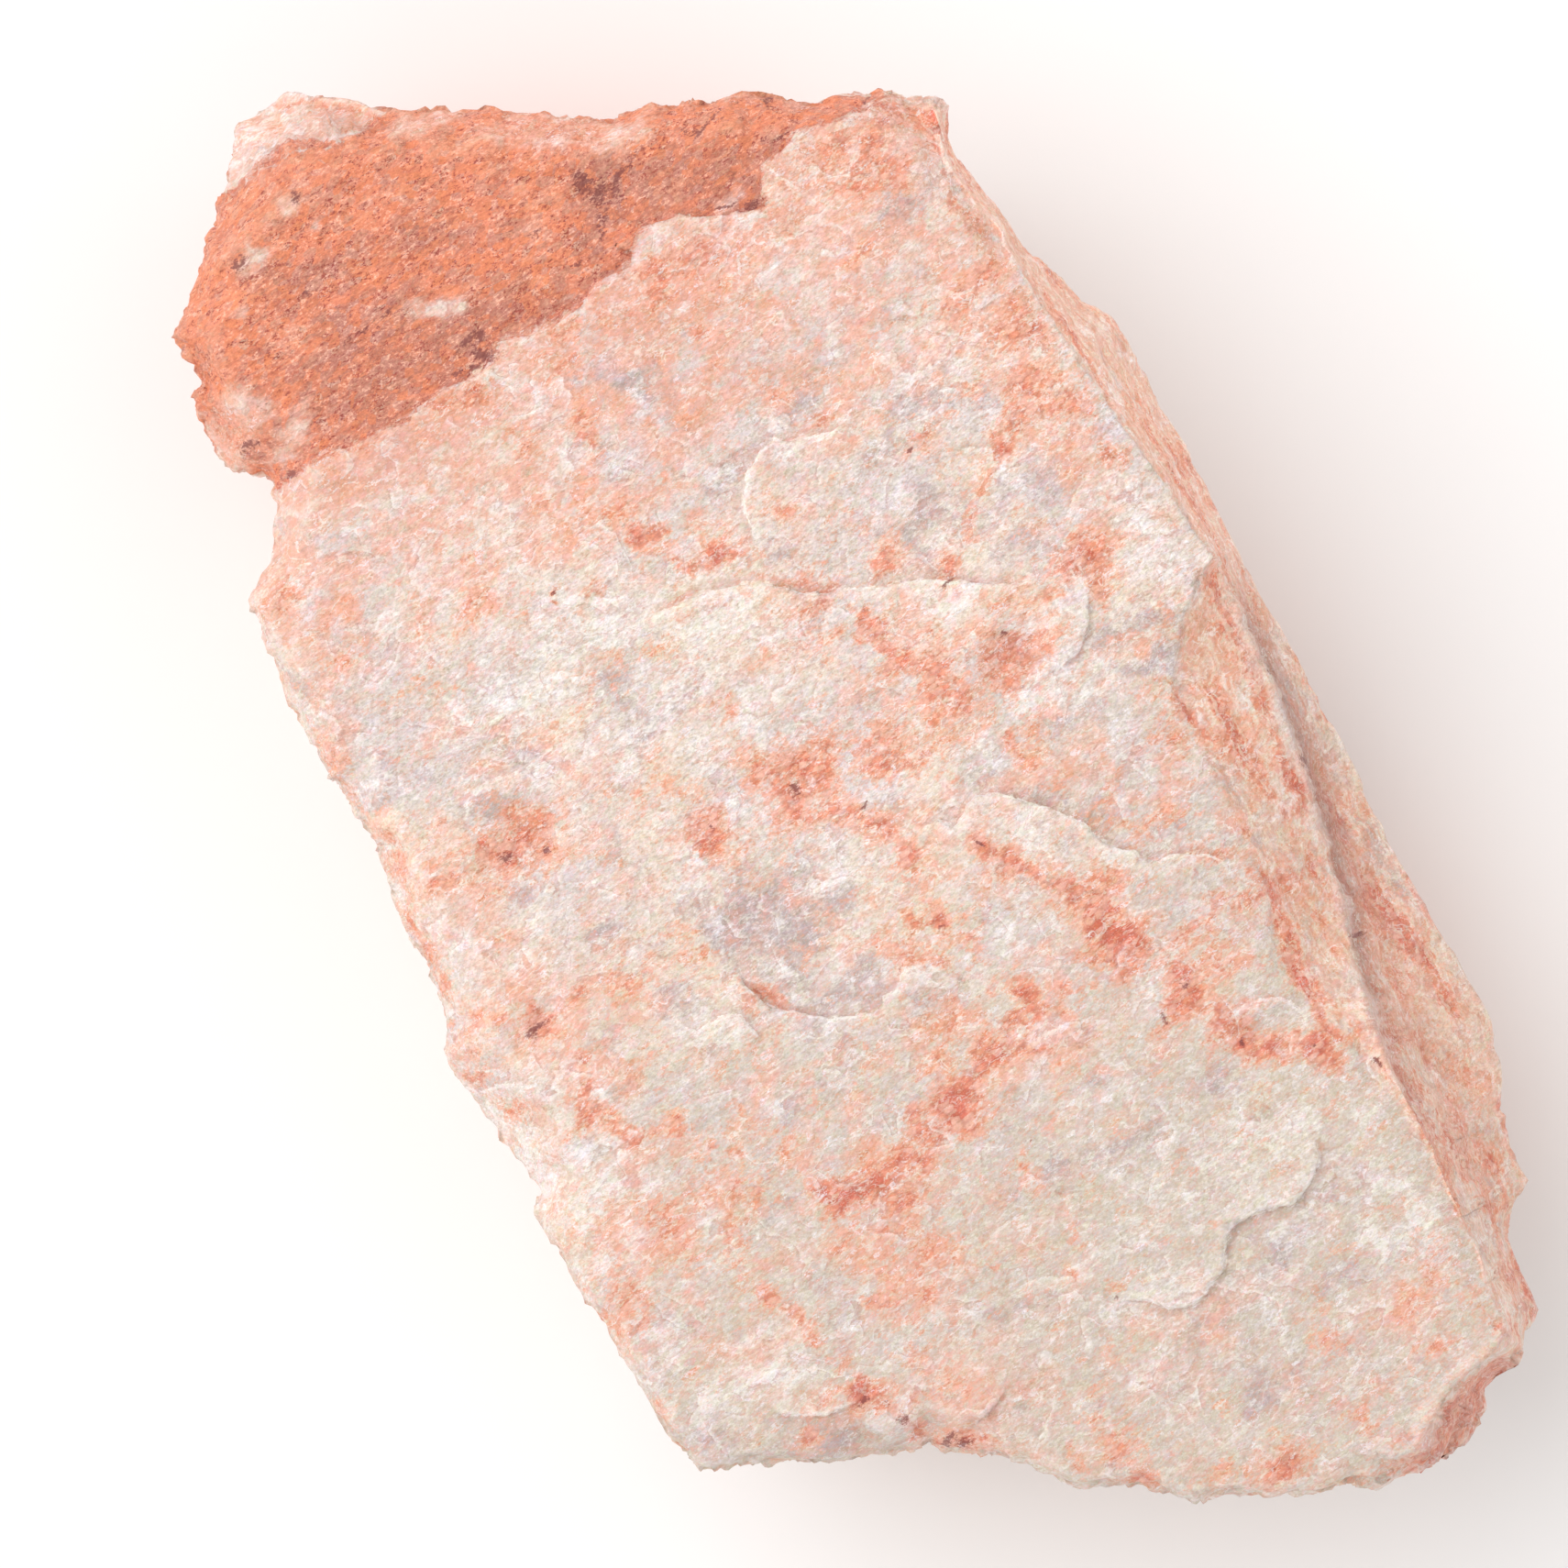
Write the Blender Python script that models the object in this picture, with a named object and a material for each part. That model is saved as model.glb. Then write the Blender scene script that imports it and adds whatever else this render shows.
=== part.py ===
"""Microcline specimen: one cleavage fragment, lying on a flat cleavage face with its main face up.

All constants are in millimetres. +Y runs along the long cleavage edges, +X points at the broken
sloping side, +Z is up, and the origin is the centre of the bounding box at the underside.
"""

import random

import bmesh
import bpy
import numpy as np
from mathutils import Vector, geometry, noise

MM = 0.001
SEED = 24

TOP = 26.2  # height of the main cleavage face above the underside
FACE_TILT_X = -0.008  # fall of the main face per millimetre
FACE_TILT_Y = 0.004
FACE_WAVE = 0.35  # slow unevenness of the main face
FACE_WAVE_LENGTH = 13.0
FACE_GRAIN = 0.13  # small unevenness of the main face
FACE_GRAIN_LENGTH = 2.6
POINT_SPACING = 1.62  # between the free points of the top
LEDGE_WIDTH = 0.22  # plan width of the riser of a ledge
CLEAR = 0.62  # free points keep this far from edges and ledges

# Rim of the fragment seen from above, clockwise from its highest corner: the far broken end,
# the sloping side, the near broken end, and the straight cleavage side.
FAR_END = [
    (-14.2, 48.1), (-12.3, 48.1), (-11.2, 48.4), (-10.4, 48.0), (-9.2, 47.0), (-7.9, 46.3),
    (-7.3, 45.6), (-5.0, 44.3), (-3.0, 43.2), (-0.6, 42.0), (0.3, 41.4), (1.7, 40.6), (3.1, 39.5),
    (4.1, 39.0), (5.0, 38.9), (6.5, 38.8), (7.5, 38.2), (8.4, 38.1), (9.3, 37.4), (10.3, 37.5),
    (11.5, 36.9), (12.7, 36.3), (13.6, 35.4), (14.8, 35.0), (16.0, 34.9), (17.2, 34.2),
    (18.4, 33.9), (19.2, 33.0), (20.0, 32.8), (20.8, 32.2), (21.1, 31.5),
]
SLOPING_SIDE = [
    (20.4, 30.3), (20.05, 29.5), (20.3, 28.5), (20.6, 26.8), (21.1, 25.4), (21.2, 24.0),
    (21.5, 22.4), (22.1, 21.6), (22.4, 20.1), (22.9, 18.7), (23.7, 17.9), (24.2, 16.7),
    (24.3, 15.2), (24.1, 14.3), (24.3, 12.9), (24.3, 11.0), (24.6, 9.0), (24.4, 8.1), (24.6, 7.4),
    (24.5, 5.2), (24.5, 2.4), (24.7, -0.5), (24.8, -2.9), (24.9, -5.2), (24.8, -5.8),
    (24.9, -7.9), (25.05, -10.0), (25.05, -11.9), (24.7, -12.7), (24.9, -13.8), (24.9, -15.4),
    (25.0, -17.6), (25.1, -20.0), (25.3, -22.3), (25.4, -25.4), (25.5, -27.0), (24.9, -28.2),
    (24.9, -28.8), (24.7, -29.5), (24.2, -30.7), (23.8, -31.3), (24.0, -31.8), (23.6, -32.4),
    (23.4, -32.9), (23.3, -34.2), (23.4, -35.6), (22.3, -36.0), (22.0, -36.5), (21.5, -37.0),
    (21.2, -37.5), (20.9, -38.6), (20.8, -40.2), (20.8, -42.1),
]
NEAR_END = [
    (20.1, -42.7), (19.4, -42.8), (19.0, -43.4), (18.2, -44.0), (17.0, -44.4), (16.2, -44.8),
    (16.0, -45.5), (15.4, -46.0), (14.7, -46.6), (13.2, -46.9), (11.8, -46.9), (10.9, -46.9),
    (9.2, -46.5), (8.2, -46.6), (7.5, -46.0), (7.0, -45.6), (6.5, -45.6), (5.0, -45.1),
    (2.9, -44.4), (2.1, -43.9), (0.0, -42.9), (-0.6, -42.9), (-1.4, -42.5), (-2.1, -41.7),
    (-3.1, -40.7), (-5.0, -39.6), (-6.4, -39.2), (-7.4, -38.0), (-8.6, -36.4), (-9.3, -36.0),
    (-10.2, -35.3), (-11.4, -34.7), (-12.3, -34.1), (-12.6, -33.4), (-13.0, -33.6),
    (-13.8, -33.4), (-15.5, -32.6), (-17.6, -32.0), (-19.0, -31.3), (-19.8, -30.7),
    (-21.2, -30.4), (-22.0, -29.8), (-22.9, -29.8), (-24.4, -29.2),
]
STRAIGHT_SIDE = [
    (-24.6, -28.9), (-24.9, -27.3), (-25.2, -25.7), (-25.3, -23.5), (-25.5, -21.1),
    (-25.8, -18.0), (-25.9, -16.3), (-26.1, -13.3), (-26.05, -12.1), (-25.3, -11.7),
    (-25.4, -10.8), (-25.8, -9.5), (-26.1, -7.6), (-26.3, -6.0), (-26.6, -4.3), (-26.9, -2.9),
    (-26.6, -2.1), (-26.1, -1.2), (-25.7, 0.2), (-25.5, 1.9), (-25.3, 2.9), (-25.6, 4.8),
    (-25.3, 7.4), (-25.1, 8.8), (-25.3, 10.5), (-25.2, 12.1), (-25.3, 13.1), (-25.7, 13.5),
    (-25.6, 14.0), (-25.8, 16.1), (-25.7, 16.9), (-25.8, 18.1), (-25.6, 19.7), (-25.6, 21.3),
    (-25.4, 23.0), (-25.3, 24.3), (-24.0, 25.3), (-22.8, 25.9), (-22.2, 27.0), (-21.7, 28.2),
    (-21.4, 29.4), (-21.4, 30.0), (-22.5, 30.6), (-23.05, 31.2), (-23.3, 32.8), (-23.4, 34.0),
    (-23.2, 35.1), (-23.1, 35.9), (-22.4, 36.1), (-22.3, 37.3), (-22.5, 38.0), (-22.7, 39.1),
    (-21.6, 39.9), (-20.9, 40.4), (-20.1, 41.3), (-19.7, 42.0), (-19.0, 42.8), (-18.0, 43.4),
    (-17.5, 43.95), (-17.3, 44.6), (-16.8, 44.9), (-16.3, 45.6), (-15.5, 46.5), (-14.9, 47.4),
]
OUTLINE = np.array(FAR_END + SLOPING_SIDE + NEAR_END + STRAIGHT_SIDE)

# Along the rim, clockwise: plan position, height of the rim, and width of the worn bevel inside it.
RIM = [
    (-14.2, 48.1, 20.4, 3.6), (-9.2, 47.0, 21.2, 3.0), (-5.0, 44.3, 23.4, 1.6),
    (0.3, 41.4, 24.2, 1.6), (6.5, 38.8, 24.4, 1.3), (13.6, 35.4, 24.0, 1.5),
    (18.4, 33.9, 23.4, 1.6), (21.1, 31.5, 21.8, 1.4), (9.2, -46.5, 23.0, 1.4),
    (5.0, -45.1, 24.8, 0.9), (-2.1, -41.7, 25.0, 0.8), (-8.6, -36.4, 24.6, 1.0),
    (-12.6, -33.4, 23.7, 1.5), (-19.0, -31.3, 25.0, 0.9), (-24.4, -29.2, 24.8, 0.9),
    (-25.5, -21.0, 25.3, 0.8), (-26.1, -13.3, 24.9, 0.9), (-26.1, -7.6, 22.9, 2.9),
    (-26.9, -2.9, 23.9, 1.8), (-25.5, 1.9, 24.3, 1.4), (-25.1, 8.8, 24.0, 1.4),
    (-25.7, 16.9, 24.8, 1.0), (-25.3, 24.3, 25.1, 0.8), (-22.2, 27.0, 25.0, 0.8),
    (-21.4, 30.0, 24.3, 1.2), (-23.3, 32.8, 23.2, 2.3), (-22.4, 36.1, 24.2, 1.0),
    (-20.9, 40.4, 24.6, 0.9), (-18.0, 43.4, 23.4, 1.4), (-15.5, 46.5, 20.8, 3.0),
]

# Sections across the sloping side, far to near: y; x of the face edge; x of the scarp that splits
# the slope; x of the scarp's foot; heights of the scarp's lip, of its foot, and of the rim.
SLOPE = np.array([
    (32.0, 18.9, 20.0, 20.6, 24.6, 24.2, 23.0), (29.2, 19.1, 19.5, 19.8, 24.8, 24.0, 22.2),
    (27.0, 19.5, 19.9, 20.2, 24.8, 23.6, 21.6), (24.2, 20.2, 20.6, 20.8, 24.6, 23.4, 21.2),
    (22.3, 20.3, 20.8, 21.0, 24.4, 23.0, 20.8), (19.9, 20.5, 21.2, 21.4, 23.8, 22.8, 20.2),
    (16.4, 21.0, 22.2, 22.4, 23.4, 22.6, 18.8), (12.0, 21.5, 22.8, 23.0, 22.6, 21.6, 18.2),
    (8.6, 22.1, 23.2, 23.4, 22.2, 21.2, 17.8), (5.2, 22.4, 23.4, 23.6, 22.0, 20.8, 17.4),
    (2.9, 22.8, 23.5, 23.7, 21.8, 20.4, 17.0), (2.3, 21.3, 23.3, 23.6, 22.2, 20.0, 16.8),
    (0.9, 20.1, 23.1, 23.5, 22.4, 19.4, 16.6), (-1.0, 18.5, 22.9, 23.4, 22.6, 18.8, 16.2),
    (-2.4, 17.5, 22.85, 23.4, 22.6, 18.4, 15.8), (-4.0, 17.6, 22.8, 23.4, 22.5, 17.8, 15.4),
    (-6.2, 17.6, 22.7, 23.4, 22.3, 17.2, 15.0), (-8.1, 17.6, 22.5, 23.3, 22.1, 16.4, 14.6),
    (-9.3, 17.7, 22.2, 23.0, 22.0, 16.0, 14.4), (-11.0, 17.8, 22.1, 22.9, 21.9, 15.8, 14.2),
    (-13.1, 17.5, 21.7, 22.7, 21.8, 16.1, 14.3), (-14.5, 17.3, 21.2, 22.5, 21.9, 16.4, 14.4),
    (-16.9, 16.5, 21.0, 22.4, 22.0, 16.9, 14.6), (-18.3, 16.15, 20.5, 22.2, 22.4, 17.3, 14.8),
    (-19.5, 16.1, 20.2, 22.0, 22.7, 17.7, 15.1), (-21.9, 17.0, 19.7, 21.7, 23.6, 18.1, 15.4),
    (-23.5, 17.8, 19.4, 21.5, 24.4, 18.5, 15.6), (-25.2, 17.9, 19.1, 21.3, 25.2, 18.6, 15.7),
    (-27.3, 18.6, 19.0, 21.2, 25.5, 18.6, 15.7), (-29.2, 18.9, 19.15, 21.2, 25.5, 18.6, 15.7),
    (-31.4, 18.85, 19.1, 21.2, 25.5, 18.5, 15.6), (-33.0, 18.75, 19.0, 21.1, 25.5, 18.3, 15.5),
    (-35.2, 18.6, 18.9, 21.0, 25.4, 18.1, 15.4), (-36.9, 18.6, 18.9, 20.8, 25.4, 17.9, 15.4),
    (-38.8, 18.4, 18.7, 20.5, 25.3, 17.8, 15.4), (-41.4, 18.4, 18.7, 20.2, 25.0, 17.4, 15.4),
    (-43.2, 18.2, 18.4, 19.2, 24.0, 17.0, 15.4),
])

# Creases that bound the two corner facets, with the height of the rim below each end.
FAR_CREASE = [
    (-17.3, 44.6), (-16.0, 44.9), (-14.5, 45.1), (-12.0, 45.0), (-10.5, 44.7), (-9.5, 44.4),
    (-8.5, 44.1), (-7.0, 43.8), (-5.0, 43.9),
]
FAR_FACET_RIM = [(-17.5, 23.0), (-15.0, 20.6), (-11.5, 20.2), (-8.0, 21.8), (-5.0, 23.6)]
NEAR_CREASE = [
    (18.3, -41.9), (17.05, -42.6), (14.7, -43.05), (13.2, -43.9), (12.3, -44.6), (11.3, -45.3),
    (10.4, -45.9),
]
NEAR_FACET_RIM = [(9.5, 23.2), (11.0, 20.5), (13.2, 17.0), (15.5, 15.4), (19.0, 14.6)]

# Ledges of the main face: height, reach of the raised ground, and the line, with the higher
# ground to the right of its direction.
LEDGES = {
    "north_loop": (0.30, 5.0, [
        (0.8, 14.0), (1.1, 16.7), (1.6, 17.6), (2.4, 18.6), (3.4, 19.3), (4.1, 19.4), (5.0, 19.0),
        (6.2, 18.6), (7.2, 18.3), (8.4, 18.7)]),
    "middle": (0.40, 7.0, [
        (-6.9, 13.3), (-6.6, 13.7), (-5.6, 13.8), (-4.4, 13.5), (-3.0, 13.7), (0.0, 12.9),
        (1.0, 12.1), (2.0, 11.2), (3.1, 10.6), (4.3, 10.2), (6.0, 9.6), (7.4, 9.2), (8.6, 8.8),
        (9.3, 8.2), (10.3, 7.7), (11.5, 7.0), (12.7, 6.3), (14.1, 6.1)]),
    "middle_end": (0.25, 4.0, [
        (15.8, 4.3), (15.4, 3.3), (15.0, 2.6), (14.3, 1.9), (13.6, 1.5), (12.7, 1.2)]),
    "tongue": (0.36, 7.0, [
        (1.1, -3.2), (2.2, -3.1), (3.1, -3.1), (3.6, -3.8), (4.3, -3.6), (4.8, -3.0), (5.5, -2.7),
        (6.5, -3.1), (7.4, -4.05), (8.4, -5.0), (9.3, -5.95), (10.05, -6.9), (10.5, -7.9),
        (11.0, -8.6), (11.95, -9.8), (12.9, -10.5), (14.1, -10.7), (15.05, -11.2), (15.8, -12.0),
        (16.7, -12.6)]),
    "hollow_rim": (0.30, 5.0, [
        (-10.4, -5.3), (-10.1, -7.0), (-9.5, -8.3), (-8.2, -9.3), (-6.8, -10.2), (-4.8, -10.9),
        (-3.0, -10.2), (-1.5, -9.0)]),
    "slab_rim": (0.20, 4.0, [(-14.0, -7.6), (-12.3, -7.4), (-11.3, -7.9), (-10.9, -9.5)]),
    "near": (0.26, 6.0, [
        (13.6, -27.3), (13.5, -28.8), (12.8, -29.5), (11.8, -30.2), (11.1, -30.5), (9.9, -30.2),
        (8.5, -29.9), (7.5, -30.1), (6.6, -31.0), (6.0, -32.1), (5.4, -32.2), (4.7, -32.7),
        (3.6, -33.05), (2.5, -32.5), (1.9, -31.7), (0.9, -31.3), (0.0, -30.7)]),
    "corner": (0.25, 4.0, [
        (-14.8, -29.4), (-15.7, -29.5), (-16.7, -29.4), (-17.9, -28.9), (-18.8, -28.3),
        (-19.5, -27.8)]),
    "near_rim": (0.35, 3.0, [(-7.4, -32.3), (-8.1, -33.0), (-9.0, -33.4), (-10.0, -33.5)]),
    "weathered_skin": (0.36, 9.0, [
        (-20.6, 29.9), (-18.0, 29.4), (-15.5, 29.3), (-12.0, 29.7),
        (-10.0, 29.9), (-8.2, 29.8), (-7.5, 30.4), (-7.0, 31.0), (-4.5, 30.2), (-2.0, 30.5),
        (-1.0, 31.1), (1.5, 31.3), (1.8, 31.9), (1.2, 32.6), (3.0, 33.0), (5.0, 32.6),
        (6.5, 31.9), (8.0, 31.3), (9.5, 30.9), (9.7, 31.7), (10.0, 32.7), (11.0, 33.0),
        (12.8, 33.8), (15.0, 33.4), (17.6, 33.1)]),
}

# Pits and hollows of the main face: x, y, half widths, depth.
PITS = [
    (11.0, 3.4, 1.3, 1.6, 1.1), (9.4, 1.9, 1.4, 1.0, 0.5), (-18.9, 5.3, 1.0, 0.8, 0.6),
    (-16.6, 4.8, 0.9, 0.8, 0.5), (-7.0, -6.5, 4.0, 4.2, 0.45), (7.5, 20.8, 3.4, 2.2, 0.4),
    (-1.2, 1.6, 3.8, 2.6, 0.35), (-21.3, -3.6, 1.8, 1.1, 0.7), (13.5, 12.5, 3.5, 2.6, 0.35),
    (9.3, -14.5, 1.6, 2.6, 0.4), (13.6, -21.6, 2.4, 1.2, 0.45), (-8.2, 1.7, 1.2, 1.1, 0.4),
    (-10.4, -33.9, 1.6, 0.9, 0.8), (2.0, 35.6, 1.6, 2.0, 0.35), (-17.8, 6.2, 2.6, 2.0, 0.3),
]

# Rings of the wall, from the rim down: share of the rim's height, inset from the rim, how far
# the ring forgets the rim's small teeth, and how strongly cleavage blocks step it.
WALL = [
    (0.94, 0.10, 0.10, 0.0), (0.76, 0.45, 0.45, 0.7), (0.71, 0.95, 0.55, 1.0),
    (0.47, 1.25, 0.70, 1.0), (0.42, 1.85, 0.75, 0.6), (0.12, 2.20, 0.90, 0.8),
    (0.00, 3.30, 1.00, 0.5),
]
BROW = 0.45  # the first drop of the sloping side, just outside the face's edge
LAYERS = 2.5  # cleavage layers across the gentle strip below the brow
LAYER_DEPTH = 0.05
BLOCK_DEPTH = 1.5
BLOCK_LENGTHS = (4.0, 9.0)
UNDERSIDE_STEP = 1.3  # a cleavage step crosses one corner of the underside
UNDERSIDE_LINE = [(-30.0, 21.0), (-16.0, 24.5), (-9.0, 31.0), (-2.0, 33.5), (6.0, 50.0)]

STONE_COLOUR = (0.80, 0.62, 0.53, 1.0)


def clear_scene():
    for obj in list(bpy.data.objects):
        bpy.data.objects.remove(obj, do_unlink=True)


def wave(points, length, offset=0.0):
    """Smooth noise in -1..1 at the points, seeded by the offset."""
    seed = Vector((offset + SEED, 0.37 * offset, 1.7 * offset))
    return np.array([noise.noise(Vector((x, y, 0.0)) / length + seed) for x, y in points])


def nearest(points, line, closed=False):
    """Distance to the line, share of its length at the foot, and side (1 on the right, -1 left)."""
    line = np.asarray(line, float)
    start = line if closed else line[:-1]
    end = np.roll(line, -1, axis=0) if closed else line[1:]
    along = end - start
    length = np.linalg.norm(along, axis=1)
    rel = points[:, None, :] - start[None]
    share = np.clip((rel * along).sum(2) / length**2, 0.0, 1.0)
    gap = np.linalg.norm(rel - share[..., None] * along, axis=2)
    across = (rel[..., 0] * along[:, 1] - rel[..., 1] * along[:, 0]) / length
    pick = np.argmin(gap - 1e-6 * np.abs(across), axis=1)
    row = np.arange(len(points))
    run = np.concatenate([[0.0], np.cumsum(length)])
    place = (run[pick] + share[row, pick] * length[pick]) / run[-1]
    return gap[row, pick], place, np.sign(across[row, pick])


def rim_profile(place):
    """Height of the rim and width of its bevel at these shares of the outline's length."""
    stations = np.array(RIM)
    _, where, _ = nearest(stations[:, :2], OUTLINE, closed=True)
    order = np.argsort(where)
    height = np.interp(place, where[order], stations[order, 2], period=1.0)
    width = np.interp(place, where[order], stations[order, 3], period=1.0)
    return height, width


def ledge_rise(points):
    rise = np.zeros(len(points))
    for height, reach, line in LEDGES.values():
        gap, place, side = nearest(points, line)
        taper = np.clip(np.minimum(place, 1.0 - place) / 0.08, 0.0, 1.0)
        uneven = 1.0 + 0.6 * wave(points, 4.0, 31.0)
        rise += np.where(side > 0, height * uneven * taper * np.exp(-gap / reach), 0.0)
    return rise


def pit_depth(points):
    depth = np.zeros(len(points))
    for x, y, half_x, half_y, deep in PITS:
        out = ((points[:, 0] - x) / half_x) ** 2 + ((points[:, 1] - y) / half_y) ** 2
        depth += deep * np.clip(1.0 - out, 0.0, 1.0) ** 0.7
    return depth


def sloping_side(points, face):
    """Height on the sloping side: face edge, gentle strip, scarp, then a shelf out to the rim."""
    y_up = SLOPE[::-1, 0]
    edge, lip, foot, lip_z, foot_z, rim_z = (
        np.interp(points[:, 1], y_up, column) for column in SLOPE[::-1, 1:].T
    )
    x = points[:, 0]
    rim = np.interp(points[:, 1], *np.array(SLOPING_SIDE)[::-1, ::-1].T)
    brow = face - BROW
    across = np.clip((x - edge) / np.maximum(lip - edge, 0.05), 0.0, 1.0)
    across = across + LAYER_DEPTH * np.sin(2 * np.pi * LAYERS * across) * (lip - edge > 1.5)
    strip = brow + (lip_z - brow) * across
    scarp = lip_z + (foot_z - lip_z) * np.clip((x - lip) / np.maximum(foot - lip, 0.05), 0, 1)
    shelf = foot_z + (rim_z - foot_z) * np.clip((x - foot) / np.maximum(rim - foot, 0.3), 0, 1)
    height = np.where(x < lip, strip, np.where(x < foot, scarp, shelf))
    slope = (x > edge + 0.12) & (points[:, 1] < 31.8)
    return np.where(slope, height, face), slope


def corner_facet(points, height, crease, rim_heights, to_rim):
    """Lets the ground outside the crease fall evenly to the rim."""
    gap, _, side = nearest(points, crease)
    rim_z = np.interp(points[:, 0], *np.array(rim_heights).T)
    share = gap / np.maximum(gap + to_rim, 1e-6)
    low = height + (rim_z - height) * share**0.85
    ends = sorted((crease[0][0], crease[-1][0]))
    weight = np.clip((points[:, 0] - ends[0] - 1.4) / 2.0, 0.0, 1.0) * (side < 0)
    weight = weight * np.clip((ends[1] - points[:, 0]) / 1.2, 0.0, 1.0)
    return low, weight


def top_height(points):
    """Height of the stone's upper surface at plan points."""
    points = np.asarray(points, float)
    x, y = points.T
    face = TOP + FACE_TILT_X * x + FACE_TILT_Y * y
    face = face + FACE_WAVE * wave(points, FACE_WAVE_LENGTH) - pit_depth(points)
    face = face + FACE_GRAIN * wave(points, FACE_GRAIN_LENGTH, 3.0) + ledge_rise(points)
    to_rim, place, _ = nearest(points, OUTLINE, closed=True)
    height, slope = sloping_side(points, face)
    near_edge = np.exp(-np.abs(x - np.interp(y, SLOPE[::-1, 0], SLOPE[::-1, 1])) / 1.1)
    height = np.where(slope, height, height - 0.45 * near_edge * (y < 31.0))
    rim_z, width = rim_profile(place)
    bevel = rim_z + (TOP - rim_z) * to_rim / width + 0.25 * wave(points, 1.9, 8.0)
    bevelled = np.where(slope, height, np.minimum(height, bevel))
    rough = 0.28 * wave(points, 2.2, 5.0)
    worn = bevelled + rough * slope
    for crease, rim_heights in ((FAR_CREASE, FAR_FACET_RIM), (NEAR_CREASE, NEAR_FACET_RIM)):
        low, weight = corner_facet(points, worn, crease, rim_heights, to_rim)
        weight = weight * ~slope
        worn = worn * (1.0 - weight) + (low + rough) * weight
    return worn


def shifted(line, gap):
    """The line moved to the right of its direction."""
    line = np.asarray(line, float)
    along = np.gradient(line, axis=0)
    along /= np.linalg.norm(along, axis=1)[:, None]
    return line + gap * np.column_stack([along[:, 1], -along[:, 0]])


def crease_lines():
    """Lines that the top's edges follow: both sides of each riser, and the bounds of the facets."""
    lines = [np.array(FAR_CREASE[1:-1]), np.array(NEAR_CREASE[:-1])]
    for _, _, line in LEDGES.values():
        lines += [shifted(line, 0.5 * LEDGE_WIDTH), shifted(line, -0.5 * LEDGE_WIDTH)]
    for column, shift in ((1, 0.0), (1, 0.3), (2, 0.0), (3, 0.0)):
        run = SLOPE[1:-1] if column == 1 else SLOPE[6:-1]
        lines.append(np.column_stack([run[:, column] + shift, run[:, 0]]))
    return lines


def free_points(lines):
    """Jittered points that fill the top between the rim and the lines."""
    low, high = OUTLINE.min(0), OUTLINE.max(0)
    rows = np.arange(low[1], high[1], 0.87 * POINT_SPACING)
    found = []
    for i, y in enumerate(rows):
        for x in np.arange(low[0] + 0.5 * POINT_SPACING * (i % 2), high[0], POINT_SPACING):
            found.append((x + random.uniform(-0.5, 0.5), y + random.uniform(-0.5, 0.5)))
    found = np.array(found)
    gap, _, side = nearest(found, OUTLINE, closed=True)
    keep = (side > 0) & (gap > 1.15)
    for line in lines:
        keep &= nearest(found, line)[0] > CLEAR
    return found[keep]


def shoulder_points(lines):
    """Points just inside the rim, which carry its bevel."""
    inward = rim_normals(OUTLINE)
    found = OUTLINE - inward * np.array([[random.uniform(0.5, 0.8)] for _ in OUTLINE])
    gap, _, side = nearest(found, OUTLINE, closed=True)
    keep = (side > 0) & (gap > 0.4)
    for line in lines:
        keep &= nearest(found, line)[0] > 0.45
    return found[keep]


def rim_normals(ring, blur=1):
    """Outward normals of a clockwise ring."""
    along = np.roll(ring, -blur, axis=0) - np.roll(ring, blur, axis=0)
    along /= np.linalg.norm(along, axis=1)[:, None]
    return np.column_stack([-along[:, 1], along[:, 0]])


def inner_run(line, ring):
    """The line cut into short steps, without what lies outside the ring or close to it."""
    line = np.asarray(line, float)
    run = np.concatenate([[0.0], np.cumsum(np.linalg.norm(np.diff(line, axis=0), axis=1))])
    stops = np.union1d(run, np.arange(0.0, run[-1], 2.0))
    line = np.column_stack([np.interp(stops, run, line[:, 0]), np.interp(stops, run, line[:, 1])])
    gap, _, side = nearest(line, ring, closed=True)
    return line[(side > 0) & (gap > 0.35)]


def triangulated(ring, lines, points):
    """Plan points and triangles inside the ring, with the lines kept as edges."""
    plan = [Vector(p) for p in ring]
    edges = []
    for line in lines:
        line = inner_run(line, ring)
        first = len(plan)
        plan += [Vector(p) for p in line]
        edges += [(i, i + 1) for i in range(first, len(plan) - 1)]
    plan += [Vector(p) for p in points]
    face = list(range(len(ring)))
    found = geometry.delaunay_2d_cdt(plan, edges, [face[::-1]], 1, 1e-5)
    return np.array([tuple(v) for v in found[0]]), found[2]


def blocks(count, spacing):
    """Piecewise constant depths along the rim: where cleavage blocks broke away."""
    depth = []
    while len(depth) < count:
        length = int(random.uniform(*BLOCK_LENGTHS) / spacing)
        depth += [random.choice((0.0, 0.25, 0.55, 1.0))] * max(length, 3)
    return blurred(np.array(depth[:count]), 0.6)


def blurred(ring, width):
    """The ring averaged along its length."""
    reach = int(np.ceil(3 * width))
    offsets = np.arange(-reach, reach + 1)
    weight = np.exp(-0.5 * (offsets / width) ** 2)
    return sum(w * np.roll(ring, o, axis=0) for o, w in zip(offsets, weight)) / weight.sum()


def wall_ring(rim, rim_z, level, upper, lower):
    """Plan points and heights of one ring of the wall."""
    share, inset, forget, step = level
    plain = rim + forget * (blurred(rim, 3) - rim)
    outward = rim_normals(blurred(rim, 4), 2)
    depth = step * BLOCK_DEPTH * (upper if share > 0.5 else 0.6 * upper + 0.7 * lower)
    depth = depth + 0.35 * wave(rim + 40.0 * share, 3.0, 11.0) * min(1.0, 3.0 * inset)
    plan = plain - outward * np.maximum(inset + depth, 0.1 * inset)[:, None]
    drift = 1.3 * wave(rim, 12.0, 20.0 + 9.0 * round(share, 1)) * (0.05 < share < 0.9)
    return plan, rim_z * share + drift


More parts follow.
